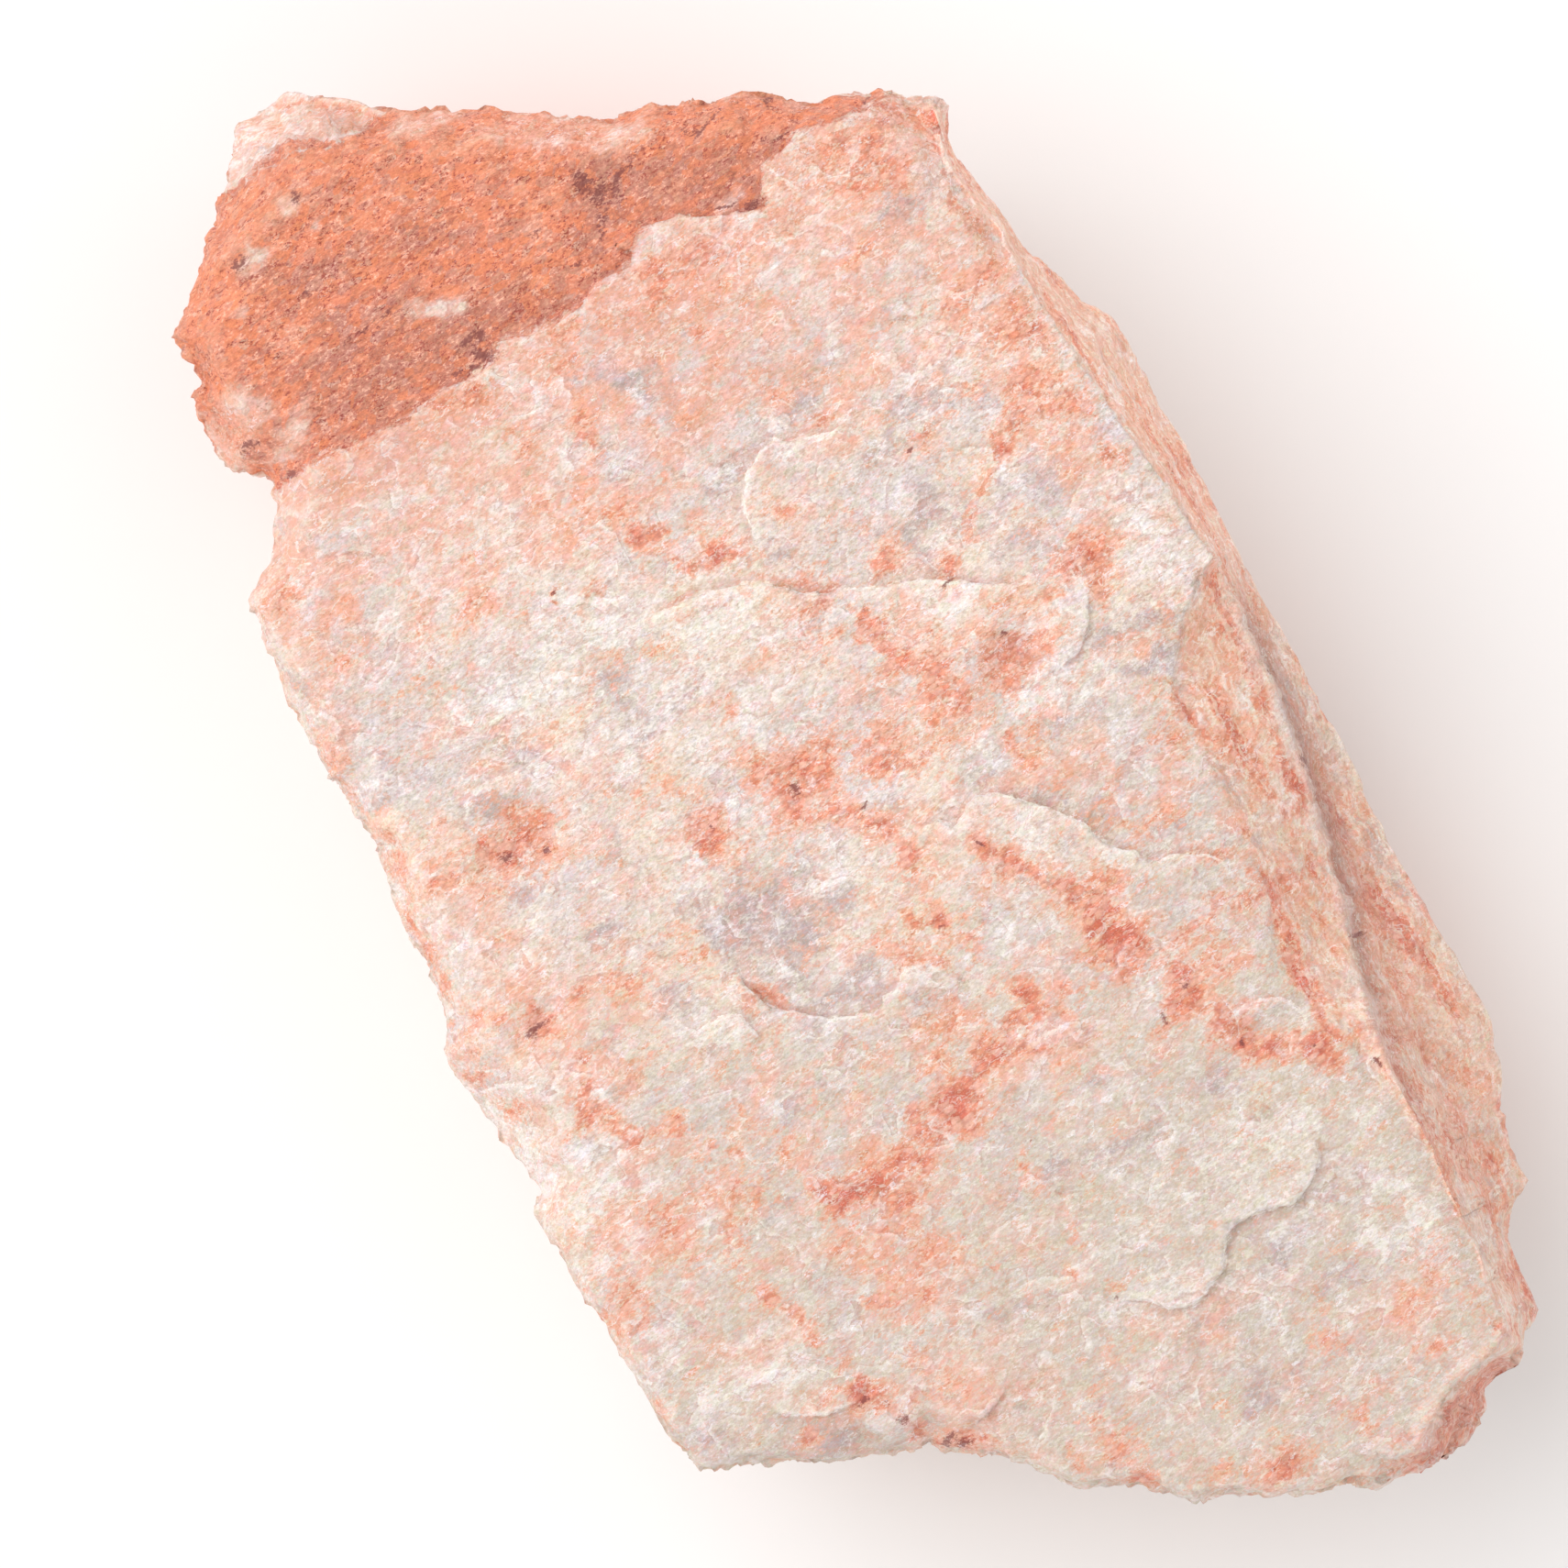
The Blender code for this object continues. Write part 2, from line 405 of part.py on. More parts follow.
def underside_height(points):
    """Zero on the resting face, one step higher past the underside line."""
    _, _, side = nearest(np.asarray(points), UNDERSIDE_LINE)
    return np.where(side < 0, UNDERSIDE_STEP, 0.0)


def ordered_boundary(mesh):
    """Vertices of the sheet's rim in the outline's order."""
    rim = {v for e in mesh.edges if e.is_boundary for v in e.verts}
    tree = {v: np.array(v.co[:2]) / MM for v in rim}
    found = []
    for point in OUTLINE:
        found.append(min(tree, key=lambda v: abs(tree[v] - point).sum()))
    return found


def add_sheet(mesh, plan, heights, triangles, flip=False):
    verts = [mesh.verts.new(Vector((x, y, z)) * MM) for (x, y), z in zip(plan, heights)]
    for triangle in triangles:
        corners = [verts[i] for i in triangle]
        mesh.faces.new(corners[::-1] if flip else corners)
    return verts


def add_wall(mesh, rim):
    """Drops the wall from the rim, ring by ring, and returns the last ring."""
    plan = np.array([v.co[:2] for v in rim]) / MM
    rim_z = np.array([v.co.z for v in rim]) / MM
    spacing = np.linalg.norm(np.roll(plan, 1, axis=0) - plan, axis=1).mean()
    upper, lower = blocks(len(rim), spacing), blocks(len(rim), spacing)
    above = rim
    for level in WALL:
        ring, heights = wall_ring(plan, rim_z, level, upper, lower)
        if level is WALL[-1]:
            heights = underside_height(ring)
        below = [mesh.verts.new(Vector((x, y, z)) * MM) for (x, y), z in zip(ring, heights)]
        for i in range(len(rim)):
            j = (i + 1) % len(rim)
            mesh.faces.new((above[i], above[j], below[j], below[i]))
        above = below
    return above


def add_underside(mesh, ring):
    """Closes the stone with its resting face and the step across one corner."""
    plan = np.array([v.co[:2] for v in ring]) / MM
    line = np.array(UNDERSIDE_LINE)
    lines = [shifted(line, 0.3), shifted(line, -0.3)]
    flat, triangles = triangulated(plan, lines, [])
    heights = underside_height(flat)
    verts = add_sheet(mesh, flat, heights, triangles, flip=True)
    return verts


def make_stone():
    random.seed(SEED)
    lines = crease_lines()
    points = np.vstack([free_points(lines), shoulder_points(lines)])
    plan, triangles = triangulated(OUTLINE, lines, points)
    mesh = bmesh.new()
    add_sheet(mesh, plan, top_height(plan), triangles)
    last = add_wall(mesh, ordered_boundary(mesh))
    add_underside(mesh, last)
    bmesh.ops.remove_doubles(mesh, verts=mesh.verts, dist=0.004 * MM)
    bmesh.ops.recalc_face_normals(mesh, faces=mesh.faces)
    middle = 0.5 * (OUTLINE.min(0) + OUTLINE.max(0)) * MM
    bmesh.ops.translate(mesh, verts=mesh.verts, vec=(-middle[0], -middle[1], 0.0))
    data = bpy.data.meshes.new("microcline_stone")
    mesh.to_mesh(data)
    mesh.free()
    return bpy.data.objects.new("microcline_stone", data)


def stone_material():
    material = bpy.data.materials.new("microcline")
    material.use_nodes = True
    shader = material.node_tree.nodes["Principled BSDF"]
    shader.inputs["Base Color"].default_value = STONE_COLOUR
    shader.inputs["Roughness"].default_value = 0.55
    return material


def main():
    clear_scene()
    collection = bpy.data.collections.new("microcline_specimen")
    bpy.context.scene.collection.children.link(collection)
    stone = make_stone()
    stone.data.materials.append(stone_material())
    collection.objects.link(stone)


main()
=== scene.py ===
"""Microcline specimen: the stone's surface and colours over its CAD frame, on a pale floor.

Lengths are in millimetres on the survey of the photo, unless a name says otherwise.
"""
import math

import bmesh
import bpy
import numpy as np
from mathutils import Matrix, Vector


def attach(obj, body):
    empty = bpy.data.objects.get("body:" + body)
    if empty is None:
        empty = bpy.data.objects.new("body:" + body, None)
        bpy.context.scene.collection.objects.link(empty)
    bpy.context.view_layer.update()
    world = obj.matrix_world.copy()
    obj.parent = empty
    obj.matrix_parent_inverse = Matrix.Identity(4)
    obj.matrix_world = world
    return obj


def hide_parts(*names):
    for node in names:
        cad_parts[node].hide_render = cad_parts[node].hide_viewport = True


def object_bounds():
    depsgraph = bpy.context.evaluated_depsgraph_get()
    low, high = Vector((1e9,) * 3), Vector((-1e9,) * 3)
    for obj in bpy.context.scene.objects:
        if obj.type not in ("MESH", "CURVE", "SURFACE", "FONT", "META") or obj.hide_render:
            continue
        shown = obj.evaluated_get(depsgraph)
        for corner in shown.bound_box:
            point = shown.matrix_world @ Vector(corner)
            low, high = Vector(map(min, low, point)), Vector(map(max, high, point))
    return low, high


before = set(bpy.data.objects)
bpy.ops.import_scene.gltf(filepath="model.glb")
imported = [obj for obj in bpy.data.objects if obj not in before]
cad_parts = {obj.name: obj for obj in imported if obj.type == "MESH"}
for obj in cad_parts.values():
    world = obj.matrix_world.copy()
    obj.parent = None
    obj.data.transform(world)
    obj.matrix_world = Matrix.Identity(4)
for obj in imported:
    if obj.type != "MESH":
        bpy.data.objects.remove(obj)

CAD_BOX = [[float(c) for c in corner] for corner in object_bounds()]
NODE = "microcline_stone"
MM = 0.001
CENTRE = np.array([-0.7, 0.75])  # survey position of the frame's origin, in mm
PHOTO_ROLL = math.radians(-26.5)
PHOTO_WIDTH = 85.25  # mm across the picture at the main face
PHOTO_AXIS = np.array([-3.58, 2.34])  # survey position in the middle of the picture
FACE_HEIGHT = 26.0
LENS = 350.0
SENSOR = 36.0
FLOOR_WHITE = 0.94
ROOM_LIGHT = 0.80
KEY_LIGHT = 1.5
KEY_SPREAD = math.radians(60.0)
KEY_LEAN = (math.radians(-31.0), math.radians(-28.0), 0.0)

WELD = 2e-6  # metres
SLIVER = 1e-7
CREASE = (0.45, 0.95)  # bend of an edge, in radians, from soft to fully sharp
FINER = 2  # rounds of subdivision

# Heights of the relief
RAGGED = 0.15  # sideways, on edges and ledges
TREAD, SMALL_TREAD = 0.12, 0.05  # between broad and between small cleavage plates
GRAIN = 0.025
LIP, LIP_WIDTH = 0.07, 1.6  # raised rim of a ledge
LAMINA, FLUTE, CHIPS = 0.30, 0.14, 0.42  # on the broken sides
WALL_INSET = 0.12
HOLLOW = 0.10  # on the underside

# Survey of the stone's face: outlines of its stains, veins, grey patches and flaws. Each ellipse
# below has a strength, half widths, a centre and, where it is turned, an angle in degrees.

# Outline of the weathered skin.
WEATHERED = [
    (-17.3, 44.6), (-16, 44.9), (-14.5, 45.1), (-12, 45), (-10.5, 44.7), (-9.5, 44.4), (-8.5, 44.5),
    (-6, 45), (-2, 43.5), (3, 41), (8.4, 39.4), (10.6, 38.4), (12.2, 36.8), (14, 35.6), (16, 34.7),
    (18.4, 33.9), (18, 33.4), (15.5, 33.3), (12.8, 33.7), (11, 33.1), (10.2, 32.7), (9.7, 31.7),
    (9.4, 30.9), (8, 31.3), (6.5, 31.9), (5, 32.6), (3, 33), (2, 32.5), (1.8, 31.9), (1.5, 31.3),
    (-1, 31), (-2, 30.6), (-4.5, 30.5), (-6.6, 31), (-7.5, 30.3), (-8.4, 29.7), (-10, 29.9),
    (-12, 29.6), (-15.5, 29.3), (-18, 29.5), (-19.4, 29.4), (-21.6, 29), (-24.4, 31), (-25.2, 34),
    (-24.4, 39), (-22, 41.5), (-19.6, 43.6), (-18, 45),
]
# Pale windows in the weathered skin.
PALES = [
    (1, 0.8, 0.4, -16.6, 40.6, 10), (1, 1.5, 0.5, -8.8, 33.8, -22), (0.6, 0.6, 0.4, -13.7, 42.4),
    (0.5, 0.6, 0.4, -13, 40.8), (0.6, 0.9, 0.5, -20.4, 34.8), (0.5, 0.5, 0.4, -20.8, 33),
    (0.5, 0.8, 0.4, -18.4, 38.2, 20), (0.45, 1, 0.3, -4.4, 35.8), (0.5, 0.5, 0.3, 4, 36.4),
]
# Parts where the weathered skin is thin.
THINS = [
    (1, 1.6, 1.1, -20.8, 33.6, -20), (0.95, 1.3, 2.2, -22.9, 32.6, 30),
    (0.75, 1.6, 1, -19.4, 31, 20), (0.85, 4.4, 1.2, 1.6, 39.6, -26), (0.6, 2.6, 0.8, -5, 43.4, -20),
    (0.6, 1, 0.5, 8, 32), (0.4, 3.4, 0.4, -2, 31.2), (0.4, 5.6, 0.8, 11.6, 36.6, -25),
]
# Iron stains.
STAINS = [
    (0.8, 0.5, 0.9, -24.9, 14.5), (0.5, 0.4, 1.4, -24.9, 11.5), (0.8, 0.6, 1.2, -24.4, 7.8),
    (0.7, 0.9, 0.5, -23.6, 5.6, -30), (0.5, 1.6, 0.5, -21.9, 5.3), (0.9, 1.9, 1.3, -18, 5.7, 5),
    (1.1, 0.6, 0.7, -18.8, 5.2), (1, 0.5, 0.7, -17.6, 6.7), (1, 0.6, 0.6, -16.7, 4.8),
    (0.7, 0.7, 0.4, -19.5, 6.5), (0.7, 0.4, 1.6, -25.2, 4.2), (0.9, 0.4, 0.7, -25.1, 1),
    (0.6, 0.4, 0.4, -21.4, 1.9), (1.2, 0.8, 0.5, -21.2, -3.5), (0.8, 0.3, 0.5, -21.2, -2.6),
    (0.9, 0.9, 0.25, -18.6, -3, 15), (0.6, 1.2, 0.9, -24.7, -2.3), (0.5, 0.3, 0.3, -22.9, -2.2),
    (0.6, 0.7, 0.4, -24.4, -7), (0.9, 0.6, 0.7, -20.7, -7.6), (0.5, 0.9, 0.5, -22.6, -9.6),
    (1.1, 1.2, 1.2, -8.5, 1.8), (0.6, 0.5, 0.5, -9.6, 1.9), (0.9, 2.2, 2.1, -2.6, 1.9),
    (1.1, 0.7, 1, -3.6, 1.2), (1, 0.7, 0.4, -4.1, 3.5, -40), (1.1, 0.9, 0.5, -1.4, -0.7, -20),
    (1.1, 1.3, 1.2, 1.7, 1.4), (0.7, 1.2, 0.4, 3.6, 0.3), (0.8, 0.5, 1.4, -0.4, 2.2),
    (1, 0.6, 0.5, 0.8, -4.1, 30), (0.7, 1.3, 2.3, 6.6, 3.9), (0.6, 1, 0.6, 3.9, 5.3),
    (0.9, 0.5, 0.6, 6.7, 2.2), (0.8, 2.1, 1.9, 10.5, 3.3), (1.1, 0.4, 1.1, 11.2, 3.2, 10),
    (0.9, 0.8, 0.5, 9.8, 1.6), (0.7, 0.5, 0.9, 8.4, 4.4), (1, 1.5, 1.1, 16.2, 6, 10),
    (0.9, 0.8, 0.5, 17.9, 6.2), (0.9, 0.5, 0.6, 16.4, 4.3), (0.7, 1, 0.4, 14.1, 5.2),
    (0.9, 0.9, 0.5, 16.4, 14.4, 30), (0.9, 1.6, 0.7, 17.4, 16.1, 45),
    (0.9, 0.7, 0.9, 19.5, 18.3, 20), (0.7, 1.3, 1.2, 19.6, 13.6), (0.6, 1.2, 1.6, 18, 15.6),
    (0.6, 0.5, 1.6, 20.4, 11), (0.6, 0.4, 1.6, 22.9, 11.6), (0.8, 0.5, 2, 24, 7.6),
    (0.7, 0.4, 1, 23.7, 17.6), (0.9, 0.8, 0.6, 7.1, 10.9), (0.5, 0.9, 0.5, 6, 10.6),
    (0.5, 0.4, 0.4, 6.6, 12.7), (0.5, 0.6, 0.5, 1.2, 9.1), (0.9, 0.9, 0.8, -4.1, 17.8, -50),
    (0.6, 1.6, 0.9, -6, 19.2), (1, 1.2, 0.5, -1, 15.2, -10), (0.8, 0.4, 0.4, 3.1, 15.6),
    (0.5, 0.6, 0.5, -8, 16.4), (0.7, 1.3, 1.3, -21.2, 32.3), (0.6, 1.2, 0.5, -21.6, 35.4, 10),
    (0.8, 3.6, 1.8, 0.4, 40.2, -28), (0.7, 2, 1, -4, 43.4, -30), (0.25, 3, 1.2, -12, 47),
    (0.8, 0.9, 0.8, -20.6, 31.6), (0.7, 0.8, 0.6, -22.3, 33.6), (0.6, 1.6, 1.1, -23.6, 24),
    (0.7, 0.7, 0.4, -21.9, 21.4, 10), (0.7, 0.5, 0.4, -21.9, 19),
    (0.7, 0.25, 0.8, -17.4, 18.8, -15), (0.6, 0.5, 0.3, -13.3, 21), (0.5, 1, 0.9, -14, 19),
    (0.6, 0.5, 0.8, -5, 23.4, 30), (0.6, 0.4, 0.8, -4.4, 25.3, -10), (0.6, 0.6, 0.5, -7.8, 25),
    (0.5, 0.4, 0.6, -8.4, 22), (0.5, 0.4, 0.5, -1.2, 23.2), (0.7, 0.6, 0.5, 3.3, 26.3),
    (0.8, 0.8, 0.4, 12.9, 26.2), (0.6, 0.4, 0.3, 14.4, 25.8), (0.6, 0.5, 0.4, 3.4, 24.4),
    (0.5, 1.2, 1, 5.6, 29.4), (0.9, 0.8, 0.5, 18.6, 22.2, 40), (0.7, 1.3, 0.5, 17.4, 21.8, 10),
    (0.6, 2.4, 2.4, 18.6, 19.6), (0.5, 2, 0.8, -16.5, 28.9), (0.5, 3.6, 0.8, -9.5, 29),
    (0.5, 3, 0.7, -2.6, 29.8), (0.5, 1.2, 1, -4, 27.4), (0.7, 0.3, 2.6, 20.3, 28),
    (0.7, 1, 0.5, 13.2, 16.5), (0.8, 0.5, 0.7, 14.9, 17.2), (0.7, 0.6, 0.6, 11.5, 15.8),
    (0.8, 0.7, 0.35, 7, 19.1), (0.6, 0.6, 0.8, 5.5, 21.2, 30), (0.5, 0.3, 0.5, 0.4, 19.8),
    (0.5, 0.5, 0.7, 8.7, -2.2), (0.55, 0.5, 1.1, 11.8, -6.8), (0.5, 0.5, 0.8, 12.6, -8.6),
    (0.5, 1.2, 0.8, 14.6, -7.8), (0.5, 0.8, 1.2, 16.4, -5), (0.7, 0.7, 0.5, 5, -7.1),
    (0.8, 1, 0.8, 7.9, -9.9, -40), (1.2, 0.9, 1.6, 8.6, -12.2, 5), (1, 1, 0.9, 9.4, -14.4),
    (1.1, 0.8, 1.1, 11, -16.6), (0.9, 0.7, 0.9, 10.1, -17.9, 20), (0.7, 1, 0.7, 10.9, -14.8),
    (0.6, 0.9, 0.8, 10.2, -10.8), (0.7, 1.4, 0.6, 12.9, -14.7), (0.7, 1.2, 0.6, 15.8, -14.4),
    (0.9, 1.2, 0.7, 18.4, -14.6), (0.7, 1, 0.5, 20.4, -14.6), (0.6, 1.2, 0.8, 13, -17),
    (0.8, 0.4, 0.4, 15.1, -11.2), (0.8, 0.5, 0.4, 16, -11.8), (0.9, 0.4, 0.3, 17.9, -11.2),
    (0.9, 0.5, 0.4, 20.4, -11.2, -20), (0.7, 0.3, 0.6, -0.7, -7.3), (0.9, 0.35, 0.6, 0.7, -7.9, 15),
    (0.8, 0.8, 1.1, -1.9, -9, 20), (0.6, 0.6, 0.5, 1.5, -9.8), (0.6, 0.5, 0.4, 1.4, -10.9),
    (0.5, 0.8, 0.4, -0.4, -10.2), (0.9, 0.7, 0.5, -11.2, -18.4, -40), (1.2, 0.9, 0.8, -4.9, -18.2),
    (1, 0.5, 0.5, -5.4, -16.8), (1.1, 1.2, 0.7, -3.4, -17, 20), (1.2, 0.9, 0.5, 0.4, -16),
    (0.7, 0.4, 0.9, 4.7, -15.7), (1, 0.9, 0.7, -7.9, -20.8), (0.8, 0.7, 0.4, -9, -20.3),
    (0.8, 0.4, 0.3, -9.6, -21.9), (0.7, 1, 0.35, -12.2, -21.5), (0.5, 0.9, 0.7, -11.2, -20.9),
    (0.7, 0.6, 0.9, -7.6, -23.9), (0.6, 0.5, 0.7, -6.7, -25), (0.8, 0.8, 0.3, -9, -26, 10),
    (0.8, 0.7, 0.5, -11.5, -25.1, -30), (0.5, 0.4, 0.4, -10.2, -23.8), (0.5, 2.2, 2.4, -8.8, -23.6),
    (0.9, 0.4, 0.35, -1.1, -22.1), (0.5, 0.6, 0.6, -1.1, -22.9), (0.5, 0.5, 0.5, -4.1, -28.3),
    (0.4, 1.1, 0.5, -1.5, -28.6), (0.5, 0.2, 0.8, -0.2, -26.6), (0.6, 0.7, 1.8, -11, -29.2),
    (0.7, 0.4, 0.6, -9.6, -31.4), (0.8, 0.6, 0.6, -18.2, -30.2), (0.6, 1, 0.4, -16.8, -28.8, 15),
    (0.9, 0.5, 0.4, -11, -34), (0.7, 0.5, 0.6, -24.6, -25.3), (0.6, 1.1, 0.9, -24, -20.6),
    (0.5, 1.6, 1.6, -24, -18), (0.6, 1.2, 2, -19.8, -16.6, 10), (0.5, 2, 1.2, -16.2, -16),
    (0.6, 0.4, 0.6, -12.3, -15.3), (0.5, 0.5, 1, -17, -18), (0.7, 0.5, 0.5, -3.9, -36.2),
    (0.9, 0.9, 1, -3.4, -38.2), (1, 0.6, 0.5, -3, -40.3, -30), (0.5, 0.4, 0.8, -5.7, -37.6),
    (0.7, 0.4, 0.3, 1.2, -41.5), (1, 1.4, 0.8, 3.9, -43.1, 15), (0.8, 0.5, 0.3, 5.2, -44.8),
    (0.6, 0.9, 0.6, 9.6, -38.2), (0.6, 1.8, 0.8, 14, -38.2), (0.6, 1.4, 0.6, 14.6, -40.9, -10),
    (0.5, 0.8, 0.9, 9, -42.4), (0.5, 0.6, 0.5, 12.5, -41.6), (0.5, 1.2, 1.2, 16.6, -36.6),
    (0.9, 0.6, 0.9, 18.2, -41.8), (0.5, 1.2, 0.8, 16, -42.6), (0.9, 0.7, 0.6, 12, -20),
    (1.2, 0.7, 0.7, 12.6, -21.3), (1.1, 1.1, 0.7, 13.9, -22.4, -30), (0.9, 0.8, 0.4, 15.7, -23.2),
    (1, 0.5, 0.6, 16.3, -24.3), (0.9, 0.8, 1.2, 19.4, -24.6), (0.7, 1.6, 2.4, 22.6, -18.6),
    (1, 0.9, 0.9, 23.2, -21.3), (0.8, 1, 1, 21.8, -22.2), (1, 0.9, 0.8, 20.9, -32.6),
    (0.8, 0.8, 0.7, 21.6, -33.6), (0.9, 0.4, 0.5, 21, -35.8), (0.9, 0.5, 1.2, 19.9, -39.5),
    (0.6, 0.8, 2, 20.4, -41), (0.5, 1.2, 2, 22.6, -28.4), (0.5, 1, 1.4, 23.6, -25),
    (0.7, 0.9, 0.8, 22.2, 1.8), (1.3, 3.6, 1, 12.8, -45.7, 18), (0.7, 0.5, 0.5, 19, -3.1),
    (0.7, 0.5, 0.7, 20.2, -6.6), (0.5, 1.2, 1.4, 20, -4.2), (0.7, 1.8, 0.4, -9.4, 46.8, -40),
    (0.7, 1.4, 0.3, -14.4, 45.3, 5), (0.6, 0.8, 0.3, -12.7, 46.8), (0.6, 0.5, 0.4, -11.2, 47.8),
    (0.5, 1.6, 0.6, -7.6, 45.4, -30), (0.9, 2.2, 1, 17.6, 32.4, -30), (0.7, 0.8, 1.8, 19.6, 31),
    (1.1, 5.8, 1, 11.6, 36.4, -25), (0.75, 3.8, 2.2, 15, 31.2, -20), (0.75, 4.8, 1.4, 4.8, 30),
]
# Iron veins: strength, half width, and the line.
VEINS = [
    (0.7, 0.35, [(-25, 10), (-24.6, 8.8), (-24.2, 7.2), (-23.5, 5.8), (-22.2, 5.3), (-20.6, 5.4)]),
    (0.6, 0.3, [(-24.9, 5.2), (-25.2, 3.6), (-25, 1.4), (-25.4, 0.2)]),
    (0.6, 0.35, [(-20.3, -5.4), (-20.7, -7.4), (-20.9, -8.8), (-20.8, -9.8), (-20, -10.7),
        (-18.7, -11.6), (-17.3, -12.5), (-15.8, -13.8), (-14.8, -14.7)]),
    (0.9, 0.4, [(-0.6, -1), (0.1, -2), (0.4, -3), (0.8, -4)]),
    (0.7, 0.25, [(0.2, 13.1), (1.3, 12.2), (2.5, 11.2)]),
    (1, 0.55, [(2.5, 11), (3.4, 10), (4.2, 8.8), (4.8, 7.8), (5.2, 6.6)]),
    (0.7, 0.5, [(5.2, 6.4), (6, 5), (6.5, 3.6), (6.8, 2.2), (7.2, 1.2)]),
    (0.65, 0.3, [(8.1, 6.8), (8.8, 7.8), (10.2, 8.8), (11, 9.5), (12.3, 10.7), (13.6, 12),
        (14.8, 13), (15.6, 13.9), (16.5, 14.4)]),
    (0.7, 0.4, [(16.2, 14), (17.4, 15.6), (18.4, 17), (19.5, 18.6)]),
    (0.7, 0.35, [(13.2, 5), (14.4, 5.4), (15.4, 5.8)]),
    (0.8, 0.3, [(-5.6, 19.6), (-4.5, 18.2), (-3.7, 16.6), (-3, 15.6), (-1.6, 15.1), (-0.4, 15.2),
        (0.8, 15.2)]),
    (0.55, 0.3, [(-4.3, 26), (-4.9, 24.2), (-5.4, 22.4), (-7, 21.2), (-8.2, 21.4)]),
    (0.7, 0.3, [(19.3, 30.2), (19.1, 27.6), (19, 24.6), (18.6, 22.6), (17.2, 21.8)]),
    (1, 0.4, [(4.2, -5), (4.4, -6.8), (5.6, -7.4), (7, -8.8), (8, -10)]),
    (0.95, 0.8, [(8, -10.4), (8.7, -12.2), (9.3, -14.2)]),
    (0.9, 0.6, [(9.6, -14.6), (10.9, -15.6), (11.1, -17.2), (10.2, -18.6)]),
    (0.7, 0.4, [(11.6, -14.8), (13.5, -14.5), (15.5, -14.2), (17.2, -14.6), (20.8, -14.8)]),
    (0.75, 0.3, [(-2.6, -14.6), (-1.2, -13.2), (-0.3, -12.5), (0.8, -12.5), (2, -13.2), (3.2, -14),
        (4.3, -14.8), (4.7, -16)]),
    (0.9, 0.55, [(-11.6, -18), (-10.6, -19), (-8.6, -19.3), (-6.6, -18.9), (-5, -18.2)]),
    (1, 0.75, [(-5, -18.2), (-3.6, -17.2), (-2, -16.5), (-0.5, -15.9), (1.8, -15.7), (3.4, -15.2)]),
    (0.6, 0.4, [(-8.4, -20.2), (-7.8, -22), (-7.4, -24), (-6.6, -25.4)]),
    (0.75, 0.35, [(-17, -21.8), (-16.5, -23.4), (-15.9, -24.8), (-15.3, -26.2), (-15.1, -27.6),
        (-15.3, -28.8)]),
    (1, 0.55, [(-15.2, -28.8), (-14.2, -29.9), (-13.2, -31), (-12.7, -32.4), (-12.1, -33.6),
        (-11, -34.3), (-9.8, -35.4)]),
    (0.6, 0.3, [(-12.6, -24.6), (-11.4, -25.4), (-10.4, -26.6), (-9.2, -27.4)]),
    (0.6, 0.35, [(-12, -27.6), (-11.2, -29), (-10.2, -30.2), (-9.6, -31.8)]),
    (0.8, 0.25, [(12, -19.8), (13.4, -19.8), (14.8, -20.2), (15.4, -21), (15.2, -22)]),
    (0.95, 0.5, [(12, -20), (12.8, -21.6), (14.2, -22.6), (15.6, -23.2), (16.4, -24.6)]),
    (0.8, 0.35, [(17, -19.8), (17.1, -21.6), (17, -23)]),
    (0.8, 0.35, [(17.9, -2.6), (18, -4.8), (18.3, -7.8)]),
    (0.7, 0.35, [(21.3, 2.3), (22.2, 2), (22.5, 0.4), (22.8, -1.6)]),
    (0.9, 0.3, [(22.9, -2.2), (22.7, -4), (22.6, -5.6), (22.8, -7), (22.5, -8.6), (22.3, -10)]),
    (0.8, 0.6, [(22.3, -10), (22.4, -12), (22.1, -14.2), (21.6, -16.4), (21.1, -18.6),
        (20.9, -20.4)]),
    (0.7, 0.6, [(19.4, -24), (19.7, -26.6), (20, -29.4), (20, -32.6)]),
    (0.8, 0.16, [(-10.3, -5.4), (-10.1, -7), (-9.4, -7.9), (-8.1, -9.3)]),
    (0.8, 0.12, [(-10.7, 16.9), (-10, 17.6)]),
    (0.8, 0.14, [(-13.7, -12.4), (-13.2, -11.8)]),
    (0.55, 0.25, [(7.9, 0.2), (8.4, -1), (8.8, -2.4)]),
    (0.5, 0.3, [(-17, -3.3), (-15.4, -2.9), (-13.6, -2.3)]),
    (0.5, 0.3, [(-13.2, -4), (-12.2, -3.6)]),
    (0.7, 0.25, [(-25.9, -4.3), (-25, -4.4), (-23.8, -5)]),
]
# Brown and dull parts of the weathered skin.
BROWNS = [
    (1, 5, 3.4, -13, 33, 10), (0.9, 4.6, 2, -5, 31.8), (1, 4.4, 1.7, 6.4, 34.4, -10),
    (0.8, 3, 1.4, 8, 32.2), (0.9, 1.9, 1.9, 1.8, 35.4), (0.7, 2.4, 1.4, -14, 42.2, 20),
    (0.7, 2, 1.6, -16, 39.2), (0.7, 3, 1.4, -13.8, 38), (0.6, 1.6, 1.2, -20.4, 31.8),
    (0.6, 3, 1, -7, 37.4, -20), (0.8, 1.8, 0.7, 11.6, 33.9, 20),
]
